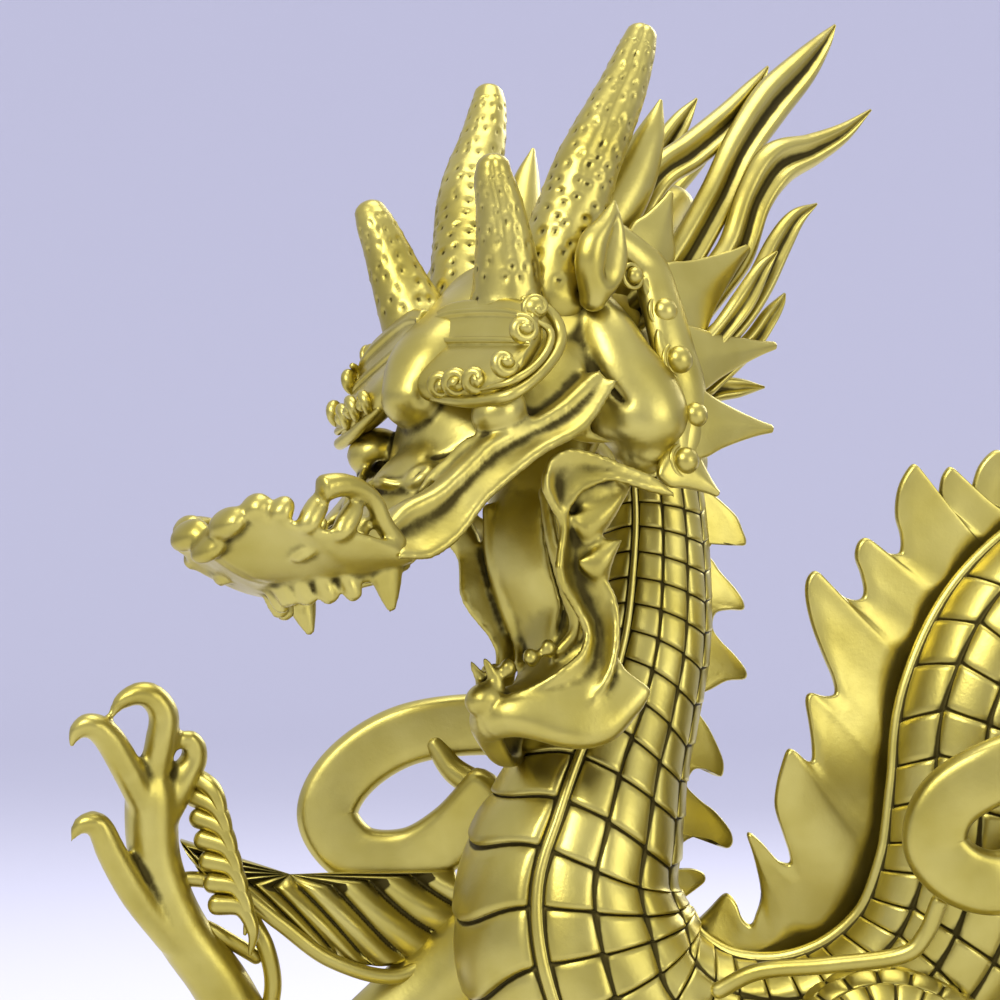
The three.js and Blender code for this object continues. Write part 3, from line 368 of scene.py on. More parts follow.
RISE_FIN = np.array([
    [182, -75, 127], [188, -73, 128], [197, -69, 132], [206, -65, 136.5], [210, -63, 136.5],
    [216, -61, 134], [224, -59.5, 130], [232, -57, 128], [237, -55.5, 131], [242, -54, 138],
    [250, -56.5, 149], [256, -58.5, 155], [259, -57.5, 156], [263, -54, 153], [269, -49.5, 148],
    [275, -46, 147], [280, -46, 150], [286, -48, 156], [294, -50.5, 164], [301, -50, 171],
    [308, -48.5, 177], [312, -47, 181], [315, -45, 181], [321, -41.5, 178], [328, -39.5, 178],
    [333, -39.5, 183], [338, -40.3, 189], [344, -41.3, 195.5], [347, -40, 197.8], [351, -36, 196.8],
    [355, -32.5, 197.5], [358, -33, 202], [361, -35.5, 208], [365, -39, 217], [368, -41, 225],
    [371, -41, 231], [373, -38.5, 234], [375, -35.5, 231], [377, -32, 227.5], [379, -28, 225.5],
    [381, -24.5, 225.5], [382.5, -23.3, 228], [384, -24.3, 233], [386, -26, 238], [388, -25.3, 242],
    [389.5, -23, 243.8], [391, -20, 242], [393, -17, 239.5], [395, -13, 239], [396, -12, 241],
    [397.2, -12.3, 245], [398.5, -13.7, 250], [400, -13.5, 256], [402, -12, 261], [404, -9, 265.5],
    [405.2, -7, 265], [406.3, -5.2, 260.5], [408, -1.5, 255.7], [409.3, -0.3, 256], [410.3, -0.3, 258],
    [411.3, 0.5, 262], [412.6, 2.7, 265], [414.3, 5, 263.5], [416, 7, 259.3], [417.7, 9.3, 257],
    [418.9, 10, 260], [420.3, 11.7, 265], [422.3, 15, 269], [424.3, 18, 270], [426.3, 21, 267],
    [428.5, 25, 264],
])
FIN_EDGE = 1.4  # mm, the rounding of the fin's edge


def fin(feet, edge, half=1.75, root_half=2.5):
    """A blade between feet on the back and an edge line: points go up one flank, round the edge
    on a quarter ellipse, and down the other flank. feet are distances, edge is points."""
    centre, _, back, left, _, deep = on_body(feet)
    root = centre + back * (deep * 0.965 - 3.5)
    reach = np.linalg.norm(edge - root, axis=-1, keepdims=True)
    up = (edge - root) / reach
    flank = np.array([0, 0.3, 0.55, 0.78, 1.0])
    rows = [(root + up * (reach - FIN_EDGE) * v, root_half + (half - root_half) * min(1, v * 1.6))
            for v in flank]
    rows += [(root + up * (reach - FIN_EDGE + FIN_EDGE * math.sin(p)), half * math.cos(p))
             for p in np.radians([25, 50, 72, 90])]
    one = [p + left * t for p, t in rows]
    other = [p - left * t for p, t in rows[-2::-1]]
    return rings_shell(np.stack(one + other, 1))


def smooth_fin(table):
    """The edge table made fine, with its sideways place found from how the back leans there."""
    rows = through(table, np.linspace(0, len(table) - 1, (len(table) - 1) * 4 + 1))
    centre, _, back, _, _, deep = on_body(rows[:, 0])
    root = centre + back * deep * 0.965
    reach = np.hypot(rows[:, 1] - root[:, 0], rows[:, 2] - root[:, 2])
    y = root[:, 1] + reach * back[:, 1] / np.hypot(back[:, 0], back[:, 2])
    return fin(rows[:, 0], np.stack([rows[:, 1], y, rows[:, 2]], -1))


def hind_fin(start, end):
    """Even flame-shaped teeth that shrink towards the tail: each rises in a long curve over most
    of its pitch, and falls back in a short hook."""
    tooth = np.array([[0, 0, 0.42], [0.35, 0.28, 0.5], [0.62, 0.66, 0.8], [0.78, 0.93, 0.97],
                      [0.86, 1.0, 1.0], [0.9, 0.97, 0.8], [0.93, 0.93, 0.6], [0.97, 0.97, 0.45]])
    rows = []
    while start < end - 10:
        height = np.interp(start, [420, 560, 800], [24, 22, 8])
        pitch = 0.9 * height + 4
        rows += [[start + pitch * f, start + pitch * d, height * h] for f, d, h in tooth]
        start += pitch
    rows.append([end, end, 1.0])
    rows = through(np.array(rows), np.linspace(0, len(rows) - 1, (len(rows) - 1) * 3 + 1))
    centre, _, back, _, _, deep = on_body(rows[:, 1])
    return fin(rows[:, 0], centre + back * (deep * 0.965 + rows[:, 2:3]))


finish_piece(mesh_of("spine_crest", [smooth_fin(NECK_FIN), smooth_fin(RISE_FIN), hind_fin(427, BODY_LENGTH - 4)]))

# ------------------------------------------------------------------ the standing legs
# The real legs were modelled on to the wax trunk and cast with it: a scaled haunch or shoulder, a
# bent shin with a flame of hair behind it, and a foot with a pad and four clawed toes.
ROUND = [[math.sin(a), math.cos(a)] for a in np.arange(8) * math.pi / 4]
SIDEWAYS, UPWARDS, ALONG_X = (0.0, 1.0, 0.0), (0.0, 0.0, 1.0), (1.0, 0.0, 0.0)


def swept(rows, section=ROUND, up=UPWARDS, around=28, cell=1.3, relief=None, ends=(0.8, 0.8)):
    """A section carried along a smooth path through rows of x, y, z, half width and half height.
    The section is a closed curve through its own points. The last rings shrink on a quarter
    circle, so that each end is round; relief(share, turn) swells the section."""
    rows = np.asarray(rows, float)
    length = np.linalg.norm(np.diff(rows[:, :3], axis=0), axis=1).sum()
    count = max(8, int(length / cell))
    place = np.linspace(0, len(rows) - 1, count)
    row = through(rows, place)
    centre, size = row[:, :3], np.maximum(row[:, 3:5], 0.25)
    along = unit(through(rows, np.minimum(place + 0.03, len(rows) - 1))[:, :3]
                 - through(rows, np.maximum(place - 0.03, 0))[:, :3])
    phi = np.radians([78, 60, 40, 20])
    reach = [ends[0] * size[0].min() * np.sin(phi), ends[1] * size[-1].min() * np.sin(phi[::-1])]
    centre = np.concatenate([centre[0] - along[0] * reach[0][:, None], centre,
                             centre[-1] + along[-1] * reach[1][:, None]])
    size = np.concatenate([size[0] * np.cos(phi)[:, None], size, size[-1] * np.cos(phi[::-1])[:, None]])
    along = np.concatenate([np.repeat(along[:1], 4, 0), along, np.repeat(along[-1:], 4, 0)])
    side = unit(np.cross(along, np.asarray(up, float)))
    top = np.cross(side, along)
    closed = np.asarray(section * 3, float)
    turn = np.arange(around) / around
    shape = through(closed, len(section) * (1 + turn))
    if relief is not None:
        share = np.concatenate([np.zeros(4), place / (len(rows) - 1), np.ones(4)])
        shape = shape * relief(share[:, None], turn[None, :])[..., None]
    else:
        shape = np.broadcast_to(shape, (len(centre), around, 2))
    return rings_shell(centre[:, None] + side[:, None] * (shape[..., :1] * size[:, None, :1])
                       + top[:, None] * (shape[..., 1:] * size[:, None, 1:]))


def pebble(centre, radii, tilt=0.0, boxy=1.0, cell=1.4):
    """An egg with radii along x, y and z, tilted about y: sines and cosines of two angles, each
    raised to the power 1 / boxy, which squares the egg up."""
    count = max(6, int(math.pi * max(radii) / cell))
    a = np.linspace(0.02, math.pi - 0.02, count)[:, None]
    b = np.linspace(0, 2 * math.pi, 2 * count, endpoint=False)[None]
    power = lambda v: np.sign(v) * np.abs(v) ** (1 / boxy)
    p = np.stack([power(np.cos(a)) + 0 * b, power(np.sin(a)) * power(np.cos(b)),
                  power(np.sin(a)) * power(np.sin(b))], -1) * radii
    c, s = math.cos(math.radians(tilt)), math.sin(math.radians(tilt))
    p = np.stack([p[..., 0] * c + p[..., 2] * s, p[..., 1], p[..., 2] * c - p[..., 0] * s], -1)
    return rings_shell(p + np.asarray(centre, float))


def curved_grid(grid, rows, columns):
    """A smooth surface through a coarse grid of points: Catmull-Rom one way, then the other."""
    grid = np.asarray(grid, float)
    across = through(grid.transpose(1, 0, 2).reshape(grid.shape[1], -1), np.linspace(0, grid.shape[1] - 1, columns))
    across = across.reshape(columns, grid.shape[0], 3).transpose(1, 0, 2)
    down = through(across.reshape(grid.shape[0], -1), np.linspace(0, grid.shape[0] - 1, rows))
    return down.reshape(rows, columns, 3)


def surface_normals(surface):
    """The directions square to a grid of points, from its steps along rows and columns."""
    return unit(np.cross(np.gradient(surface, axis=0), np.gradient(surface, axis=1)))


def leaf(grid, thick, rows=40, columns=40, relief=None, edge=1.6):
    """A sheet of metal over a smooth surface. It is thick in the middle and rounds off over the
    last few millimetres to meet itself along its border; relief lifts its front face."""
    surface = curved_grid(grid, rows, columns)
    normal = surface_normals(surface)
    i, j = np.linspace(0, 1, rows)[:, None], np.linspace(0, 1, columns)[None]
    tall = np.linalg.norm(np.diff(surface, axis=0), axis=-1).sum(0).mean()
    wide = np.linalg.norm(np.diff(surface, axis=1), axis=-1).sum(1).mean()
    inset = np.minimum(np.minimum(i, 1 - i) * tall, np.minimum(j, 1 - j) * wide) / edge
    half = thick / 2 * np.sqrt(1 - (1 - np.clip(inset, 0, 1)) ** 2)
    lift = 0 if relief is None else relief(i, j) * np.clip(inset, 0, 1)
    front = (surface + normal * (half + lift)[..., None]).reshape(-1, 3)
    behind = (surface - normal * half[..., None]).reshape(-1, 3)
    index = np.arange(rows * columns).reshape(rows, columns)
    border = np.ones((rows, columns), bool)
    border[1:-1, 1:-1] = False
    under = np.where(border, index, index + rows * columns)
    face = lambda n: np.stack([n[:-1, :-1], n[1:, :-1], n[1:, 1:], n[:-1, 1:]], -1).reshape(-1, 4)
    quads = np.concatenate([face(index), face(under)[:, ::-1]])
    used, again = np.unique(quads, return_inverse=True)
    points = np.concatenate([front, behind])[used]
    return points, again.reshape(quads.shape), np.zeros((0, 3), int)


def flame(path, thick, flat, section, up=UPWARDS, around=36, cell=1.2):
    """A flame or a claw: a section that swells and then tapers as 1 - share to the power 1.7."""
    share = np.arange(len(path)) / (len(path) - 1)
    high = thick * (1 - share ** 1.7) + 0.7
    rows = np.column_stack([np.asarray(path, float), high * flat, high])
    return swept(rows, section, up, around, cell)


def melted(name, shells, voxel, rounds=3):
    """Shells run together as they do in the wax: the space they fill is skinned again with even
    small faces, and the skin is averaged a few times, which leaves a fillet in every corner."""
    piece = mesh_of(name, shells)
    remesh = piece.modifiers.new("skin", "REMESH")
    remesh.mode, remesh.voxel_size, remesh.use_smooth_shade = "VOXEL", voxel * 0.001, True
    view = bpy.context.evaluated_depsgraph_get()
    skinned = bpy.data.meshes.new_from_object(piece.evaluated_get(view))
    piece.modifiers.clear()
    old, piece.data = piece.data, skinned
    bpy.data.meshes.remove(old)
    skinned.name = name
    place_points(skinned, averaged(skinned, points_of(skinned), rounds))
    return piece


def place_points(mesh, points):
    """Puts points in millimetres back into a mesh."""
    mesh.vertices.foreach_set("co", (points * 0.001).astype(np.float32).ravel())
    mesh.update()


LOCK = [[0, 1.0], [0.35, 0.5], [0.75, 0.42], [1.0, 0.0], [0.6, -0.7], [0, -0.8], [-0.6, -0.7],
        [-1.0, 0.0], [-0.75, 0.42], [-0.35, 0.5]]
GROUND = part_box("plinth")[1][2] * 1000  # mm, the height at which the feet stand
TOE_TURNS = (-52, -17, 17, 52)


def foot(x, y, facing=180):
    """A pad, and four toes that splay from it; each ends in a claw that curves to the ground."""
    shells = [swept([[x, y, GROUND - 2, 9, 9], [x, y, GROUND + 8, 10, 10], [x, y, GROUND + 16, 7, 7]], up=ALONG_X)]
    for turn in TOE_TURNS:
        out = np.array([math.cos(math.radians(facing + turn)), math.sin(math.radians(facing + turn))])
        toe = [[*(np.array([x, y]) + out * reach), GROUND + height, wide, high]
               for reach, height, wide, high in
               [(4, 7, 5, 6), (12, 9, 4.6, 5.6), (19, 7, 4.8, 5.2), (23, 6, 3.2, 3.6), (28, 4.5, 2.4, 2.6), (32.5, 1.2, 0.8, 0.8)]]
        shells.append(swept(toe, around=20))
    return shells


def standing_leg(rows, tuft, place):
    return [swept(rows, up=SIDEWAYS, around=40), flame(tuft, 6.5, 0.6, LOCK, SIDEWAYS), *foot(*place)]


legs = melted("standing_legs", [
    *standing_leg([[-12, -26, 84, 17, 16], [8, -42, 68, 12, 13], [-4, -49, 50, 9, 10], [-18, -51, 34, 8, 8], [-22, -51, 22, 8, 8]],
                  [[4, -42, 70], [18, -46, 64], [30, -48, 70], [38, -48, 82]], (-24, -51)),
    *standing_leg([[130, -26, 96, 18, 18], [112, -42, 74, 13, 14], [122, -50, 54, 9, 10], [136, -50, 42, 8, 9], [128, -49, 24, 8, 8]],
                  [[128, -48, 50], [142, -50, 44], [156, -50, 50], [164, -49, 62]], (126, -49)),
    *standing_leg([[150, 18, 92, 18, 18], [138, 36, 72, 13, 14], [150, 46, 54, 9, 10], [165, 47, 42, 8, 9], [158, 46, 24, 8, 8]],
                  [[156, 45, 50], [170, 47, 44], [184, 47, 50], [191, 46, 62]], (156, 46)),
], 1.4)
on_ground = points_of(legs.data)
on_ground[:, 2] = np.maximum(on_ground[:, 2], GROUND)
place_points(legs.data, on_ground)
finish_piece(legs)


def scaled_dome(centre, radii, tilt, rows=6, tiles=9):
    """A haunch: an egg whose tiles lie in rings round the point that faces outwards, the tiles
    of one ring half a tile on from those of the next. Carved as the body's tiles are."""
    steps = np.array([0, 0.05, 0.13, 0.28, 0.5, 0.72, 0.87, 0.95])
    ring = (np.arange(rows)[:, None] + steps).ravel()
    out = ring / rows * math.radians(112)
    inside, which = ring % 1, np.floor(ring)
    turn = (np.arange(tiles * 2)[:, None] + steps).ravel() / (tiles * 2)
    b = 2 * math.pi * turn[None] + (which[:, None] % 2) * math.pi / (tiles * 2)
    relief = body_relief("tile", turn[None] * tiles * 2 % 1, inside[:, None])
    p = np.stack([np.sin(out)[:, None] * np.cos(b), -np.cos(out)[:, None] + 0 * b,
                  np.sin(out)[:, None] * np.sin(b)], -1)
    lifted = p * radii + unit(p / radii) * (relief * 0.8 * ramp(0.2, 0.9, ring)[:, None])[..., None]
    c, s = math.cos(math.radians(tilt)), math.sin(math.radians(tilt))
    x, y, z = np.moveaxis(lifted, -1, 0)
    # the second array says how deep each point lies in the cuts; the brass darkens it there, as patina and painted
    # shade
    return (rings_shell(np.stack([x * c + z * s, y, z * c - x * s], -1) + centre),
            np.append(0.35 - 1.1 * relief, [0, 0]))


HAUNCHES = [((-16, -27, 93), (31, 16, 24), 12), ((134, -24, 106), (28, 19, 32), -18)]
domes = [scaled_dome(np.array(c, float), np.array(r, float), t) for c, r, t in HAUNCHES]
far_skin, far_hollow = scaled_dome(np.array([150, -16, 102], float), np.array([27, 19, 30], float), -18)
domes.append(((far_skin[0] * (1, -1, 1), far_skin[1], far_skin[2]), far_hollow))
finish_piece(mesh_of("scaled_haunches", [d[0] for d in domes]), hollow=np.concatenate([d[1] for d in domes]))

# ------------------------------------------------------------------ the raised foreleg
# The real right foreleg reaches forward and up, its palm open and four claws hooked. A fringe of
# slanting locks hangs along the upper arm, over a rolled rim. Cast hollow with the trunk.
CLAWS = [
    [[-237, 5, 168], [-234, 2, 182], [-233, 1, 191], [-238, -2, 197], [-245, -4, 195], [-249, -5, 189]],
    [[-239, 2, 164], [-244, -3, 175], [-249, -7, 184], [-254, -10, 188], [-258, -11, 186], [-260, -12, 181]],
    [[-231, 9, 122], [-241, 1, 136], [-248, -4, 149], [-252, -7, 158], [-257, -9, 158], [-260, -9, 153]],
    [[-234, 7, 158], [-228, 9, 170], [-224, 9, 178], [-226, 6, 183], [-230, 3, 180]],
]


def claw(path):
    """A finger with a knuckle, a groove behind the nail and a hooked nail."""
    size = np.interp(np.linspace(0, 1, len(path)), [0, 0.35, 0.55, 0.62, 0.8, 1.0], [5.6, 5.8, 4.4, 4.6, 3.2, 0.7])
    rows = np.column_stack([np.asarray(path, float), size * 0.85, size])
    return swept(rows, up=SIDEWAYS, around=24, cell=0.7)


arm = melted("raised_foreleg", [
    swept([[-118, 20, 128, 16, 20], [-146, 31, 108, 14, 17], [-176, 34, 84, 13, 14], [-194, 30, 70, 11, 11]], around=40),
    swept([[-192, 30, 66, 11, 11], [-207, 24, 88, 10, 11], [-217, 18, 108, 9, 10], [-229, 12, 126, 8.5, 9],
           [-236, 8, 146, 8, 9], [-237, 6, 166, 8, 9], [-236, 5, 176, 5, 6]], up=SIDEWAYS, around=40),
    *[claw(path) for path in CLAWS],
    # the elbow's flame of hair
    flame([[-186, 32, 70], [-176, 36, 62], [-164, 38, 60], [-152, 38, 66]], 6, 0.6, LOCK, SIDEWAYS),
], 1.15, rounds=2)
finish_piece(arm)

FRINGE_TOP = [[-229, 15, 152], [-218, 17, 144], [-208, 19, 139], [-193, 23, 137], [-172, 27, 139], [-146, 31, 142]]
FRINGE_FOOT = [[-222, 15, 141], [-214, 17, 137], [-200, 19, 128], [-186, 23, 118], [-166, 27, 113], [-142, 30, 124]]


def fringe(locks=10, lean=1.5):
    """Slanting locks side by side: the sheet between two edge lines, folded into rounded ridges
    with sharp valleys, each ridge being the root of a half sine, and sheared along the edge."""
    fall, along = np.linspace(0, 1, 30)[:, None], np.linspace(0, 1, 260)[None]
    count = along * locks - fall * lean
    ridge = np.abs(np.sin(np.pi * count)) ** 0.6
    top = through(FRINGE_TOP, along * (len(FRINGE_TOP) - 1) + 0 * fall)
    foot_line = through(FRINGE_FOOT, along * (len(FRINGE_FOOT) - 1) + 0 * fall)
    surface = top + (foot_line - top) * fall[..., None]
    surface[..., 1] -= 4.2 * ridge * (1 - 0.3 * fall) + 3 * np.sin(np.pi * fall)
    back = surface.copy()
    back[..., 1] = top[..., 1] + 6
    return rings_shell(np.concatenate([surface, back[:, ::-1]], 1).transpose(0, 1, 2))


rim = lambda path, size: swept([[*p, size, size] for p in path], up=SIDEWAYS, around=20, cell=1.0)
finish_piece(mesh_of("foreleg_fringe", [
    fringe(),
    rim([[-206, 21, 116], [-218, 14, 124], [-230, 12, 131], [-228, 12, 140], [-213, 13, 137.5], [-199, 15, 127],
         [-183, 19, 115], [-163, 23, 110], [-146, 27, 120]], 2.4),
    rim([[-207, 18, 127], [-203, 18, 119], [-201, 20, 108], [-203, 23, 96]], 2.7),
    # hair up the back of the wrist, in short diagonal ridges
    *[flame([[-226 + 1.4 * k, 12 - 0.6 * k, 172 - 6.5 * k], [-219 + 1.5 * k, 8, 168 - 6 * k], [-216 + 1.6 * k, 7, 161 - 6 * k],
             [-217 + 1.6 * k, 9, 154 - 6 * k]], 3.4, 0.8, LOCK, SIDEWAYS, 24, 0.9) for k in range(7)],
]))

# ------------------------------------------------------------------ the scrolls
# Flat ribbons of cloud, grooved down the middle and curled into open rings: one leaves the right
# shoulder, one the left flank. Each was bent from a strip of wax and stuck on before casting.
TWO_ROLLS = [[-1, 0], [-0.92, 0.6], [-0.6, 0.95], [-0.28, 0.7], [-0.1, 0.36], [0.1, 0.36], [0.28, 0.7], [0.6, 0.95],
             [0.92, 0.6], [1, 0], [0.92, -0.6], [0.6, -0.95], [-0.6, -0.95], [-0.92, -0.6]]


def scroll(path, half, thick, section=TWO_ROLLS):
    """A ribbon that keeps its width from root to root."""
    return swept([[*p, half, thick] for p in path], section, SIDEWAYS, 56, 1.1)


finish_piece(mesh_of("cloud_scrolls", [
    scroll([[-112, 25, 182], [-134, 37, 186], [-160, 38, 183], [-178, 38, 172], [-185, 37, 158], [-176, 36, 146],
            [-160, 35, 145], [-146, 32, 153], [-134, 26, 166]], 9.5, 5),
    scroll([[40, -20, 191], [33, -46, 182], [13, -53, 177], [-2, -53, 168], [-6, -52, 156], [1, -51, 147],
            [13, -49, 144], [27, -44, 149], [31, -28, 156]], 9.5, 6),
    rim([[-124, 22, 166], [-140, 30, 166], [-146, 31, 156], [-142, 30, 146], [-126, 22, 140]], 2.6),
    swept([[-152, 35, 180, 3, 3], [-146, 33, 172, 4, 4], [-136, 29, 166, 5, 5], [-128, 24, 160, 8, 9]], up=SIDEWAYS),
    rim([[-68, -33, 111], [-56, -36, 117], [-36, -38, 119], [-15, -40, 122], [-8, -41, 128], [-4, -43, 138]], 2.6),
]))

# ------------------------------------------------------------------ the head: skull, cheeks and lips
# The real head is one thick casting with the neck: a ridged forehead, smooth pear-shaped cheeks,
# a short nose, and a wavy lip that hangs along the upper jaw. It was modelled in soft wax, so its
# parts run into one another. Points on the head are forward, left and up from the forehead's
# middle, in millimetres.
HEAD_AT = np.array([-152.6, -31.0, 295.5])
YAW, PITCH, ROLL = np.radians([45, 22, 12])
FORWARD = np.array([-math.sin(YAW) * math.cos(PITCH), -math.cos(YAW) * math.cos(PITCH), -math.sin(PITCH)])
LEVEL_LEFT = np.array([math.cos(YAW), -math.sin(YAW), 0.0])
HEAD_LEFT = LEVEL_LEFT * math.cos(ROLL) + np.cross(FORWARD, LEVEL_LEFT) * math.sin(ROLL)
HEAD_AXES = np.stack([FORWARD, HEAD_LEFT, np.cross(FORWARD, HEAD_LEFT)])
UP_IN_HEAD, AHEAD, ASIDE = (0.0, 0.0, 1.0), (1.0, 0.0, 0.0), (0.0, 1.0, 0.0)


def on_head(shells):
    """Shells drawn in the head's own directions, turned and moved to where the head is."""
    return [(points @ HEAD_AXES + HEAD_AT, *faces) for points, *faces in shells]


def both(shells, lift=0.0):
    """Each shell, and its mirror image on the head's right side, lifted by lift."""
    return shells + [(points * (1, -1, 1) + (0, 0, lift), *faces) for points, *faces in shells]


def thread(path, size, taper=0.6):
    """A round wax thread along a path, thinner towards its two ends."""
    share = np.linspace(0, 1, len(path))
    radius = size * np.interp(share, [0, 0.15, 0.8, 1], [taper, 1, 1, taper])
    return swept(np.column_stack([np.asarray(path, float), radius, radius]), up=(0.3, 1.0, 0.2), around=14, cell=0.7)


def pressed_in(piece, lines):
    """Lines drawn into the wax: [line, width, depth], with a bell-shaped cut, on both sides."""
    points = points_of(piece.data)
    place = (points - HEAD_AT) @ HEAD_AXES.T
    place[:, 1] = np.abs(place[:, 1])
    depth = np.zeros(len(points))
    for line, width, deep in lines:
        best = np.full(len(points), 1e9)
        for a, b in zip(np.array(line[:-1], float), np.array(line[1:], float)):
            t = np.clip((place - a) @ (b - a) / ((b - a) @ (b - a)), 0, 1)
            best = np.minimum(best, np.linalg.norm(place - a - t[:, None] * (b - a), axis=1))
        depth += deep * np.exp(-(best / width) ** 2)
    place_points(piece.data, points - normals_of(piece.data) * depth[:, None])
    return piece


ROOF = [[0, 1], [0.2, 0.9], [0.5, 0.55], [0.78, 0], [1, -0.62], [0.92, -1], [0, -0.7], [-0.92, -1],
        [-1, -0.62], [-0.78, 0], [-0.5, 0.55], [-0.2, 0.9]]
LIP_RIDGE = [[-26, 38, -22], [-7, 36, -26], [9, 34, -26], [19, 32, -25.5], [28, 30, -28], [41, 28, -31],
             [53, 26, -31], [62, 26, -33]]
LIP_EDGE = [[-27, 41, -26], [-9, 40, -33], [9, 38.5, -33.5], [23, 35.5, -36], [33, 33.5, -38.5],
            [44, 31, -43.5], [55, 29, -45], [66, 29, -41]]
LIP_CHANNEL = (np.array(LIP_RIDGE) + np.array(LIP_EDGE)) / 2 + [0, -3.2, 1.2]
skull = melted("skull_and_lips", on_head([
    swept([[-34, 0, -6, 32, 20], [-16, 0, -10, 32, 19], [2, 0, -18, 31, 14], [16, 0, -27, 28, 9],
           [30, 0, -32, 26, 8], [46, 0, -37, 24, 7], [60, 0, -41, 21, 6], [68, 0, -42, 18, 5]], ROOF, around=60),
    swept([[-36, 0, -8, 29, 26], [-54, 1, -14, 25, 25], [-62, 4, -36, 17, 19], [-64, 5, -62, 14, 14]],
          around=60, up=AHEAD),
    pebble([-44, 0, -6], [24, 27, 24]),
    # the broad ridge down the forehead, and the nose below the notch at its end
    swept([[-34, 0, 6, 24, 13], [-22, 0, 4, 19, 12], [-8, 0, 2, 15, 11], [3, 0, -1, 13, 10.5],
           [12, 0, -8, 10, 10]], around=50),
    swept([[8, 0, -20, 8, 5], [17, 0, -22, 9, 4], [26, 0, -25, 12, 5], [32, 0, -28, 12, 5.5]], around=40),
    thread([[36, -9, -27], [38.5, -4, -24], [37, 0, -23.5], [38.5, 4, -24], [36, 9, -27]], 1.6),
    *both([
        pebble([9, 29, -19], [9, 8, 7]),
        swept([[-46, 22, -6, 8, 8], [-42.5, 27, -14, 10, 10], [-40, 30, -24, 11.5, 12], [-40, 31, -36, 14, 14.5],
               [-38, 31, -44, 14, 14], [-36, 30, -50, 9, 9]], up=AHEAD, around=48),
        pebble([31, 12, -27], [6.5, 5, 3.6]),
        thread([[39, 17, -30], [34, 20, -27], [26, 22, -25], [20, 25, -23], [12, 31, -24]], 1.7),
        leaf(np.stack([np.array(LIP_RIDGE) - [0, 7, -1], np.array(LIP_RIDGE), LIP_CHANNEL, np.array(LIP_EDGE)]),
             2.6, 34, 130),
        thread(LIP_RIDGE, 1.5), thread(LIP_EDGE, 1.8),
        flame([[-8, 36, -34], [-12, 38, -38], [-18, 39, -42]], 3.2, 0.5, ROUND, ASIDE),
    ]),
]), 1.05, rounds=2)
finish_piece(pressed_in(skull, [
    ([[27, 7, -24], [20, 14, -25], [16, 20, -24], [12, 26, -23]], 1.3, 1.4),
    ([[15, 10, -2], [17, 9, -8], [15, 12, -14]], 1.2, 1.2),
    ([[37, 13, -24], [33, 14, -23]], 1.7, 2.4),
    ([[-27, 30, -6], [-28, 33, -16], [-27, 35, -26], [-30, 38, -34]], 1.6, 2.0),
    ([[20, 20, -21], [14, 24, -24], [6, 31, -27]], 2.2, 2.2),
]))

# ------------------------------------------------------------------ the brows
# A heavy pad over each eye, laid in three steps. Each step ends outside in a curl of rolled wax, a
# row of curls runs along the front, and a double band turns round the pad's outer end.
BROW_STEPS = [
    [-15, 6], [-14, 9], [-11, 10.2], [-8.6, 9.2], [-7.5, 8.6], [-6.9, 8.7], [-6.3, 7.8], [-6.1, 6.2], [-4.4, 4.9],
    [-1.6, 2.8], [-0.4, 2.3], [0.4, 2.5], [1.1, 1.6], [1.3, 0.3], [4.2, -0.7], [8.6, -2.6], [12.8, -5.2],
    [15, -8.8], [14.2, -12.4], [10, -14], [4, -12.5], [-6, -8], [-15, -2],
]


def curl(centre, towards, radius, size, turns=1.2, start=0.0, rise=2.0):
    """A snail: a thread along a flat spiral whose radius grows evenly with the angle, its middle
    raised, in the plane square to a direction."""
    out = unit(np.asarray(towards, float))
    one = unit(np.cross(out, [0.2, 0.1, 1.0]))
    two = np.cross(out, one)
    a = np.linspace(0, 1, 14)
    r = radius * (0.2 + 0.8 * a)
    angle = start + 2 * math.pi * turns * a
    path = (np.asarray(centre, float) + one * (r * np.cos(angle))[:, None] + two * (r * np.sin(angle))[:, None]
            + out * (rise * (1 - a))[:, None])
    radii = size * np.interp(a, [0, 0.2, 0.8, 1], [1.35, 1.0, 1.0, 0.5])
    return swept(np.column_stack([path, radii, radii]), up=out, around=12, cell=0.8)


OUT, OUT_AHEAD = (0.35, 1.0, 0.2), (0.9, 0.7, 0.15)
finish_piece(mesh_of("brows", on_head(both([
    swept([[1.5, 2, 4.2, 0.8, 0.8], [1.2, 8, 3.8, 0.95, 0.95], [0.5, 16, 2, 1, 1], [0, 24, 0, 1, 1],
           [-0.3, 31, -1.8, 0.97, 0.97], [-0.8, 36, -3.2, 0.88, 0.88], [-1.4, 39, -4.2, 0.7, 0.7],
           [-1.8, 41, -4.8, 0.4, 0.4]], BROW_STEPS, around=160, cell=0.7),
    pebble([-12.6, 37, 3.6], [4.2, 3.8, 4], cell=0.8),
    curl([-12.4, 38.5, 3.4], OUT, 4.4, 1.2, 1.0, 0.4, 1.0),
    curl([-3.3, 38.5, 0], OUT, 4.2, 1.9, 1.3, 2.4, 2.0),
    curl([8.0, 38.5, -5.9], OUT, 4.0, 1.8, 1.0, 2.6, 0.6),
    curl([14.2, 17, -5.2], OUT_AHEAD, 3.6, 1.7, 1.15, 1.0, 1.2),
    curl([14.0, 23.5, -6.0], OUT_AHEAD, 3.8, 1.8, 1.25, 0.2, 1.4),
    curl([12.8, 30, -7.2], OUT_AHEAD, 3.8, 1.8, 1.1, 1.8, 1.0),
    thread([[-13, 34, 7], [-17.5, 37, 1], [-16.5, 39, -6], [-9.6, 40.5, -10.8], [2.8, 41, -14.2], [12, 38.5, -15],
            [15, 28, -13.2], [15.5, 20, -10.8], [15, 12, -8.4]], 1.9),
    thread([[-9, 38.5, 1.5], [-12, 40, -4], [-7, 41.5, -8.2], [2, 42, -11], [10, 39.5, -11.6], [13.8, 31, -10.6]], 1.2),
], lift=2.0))))

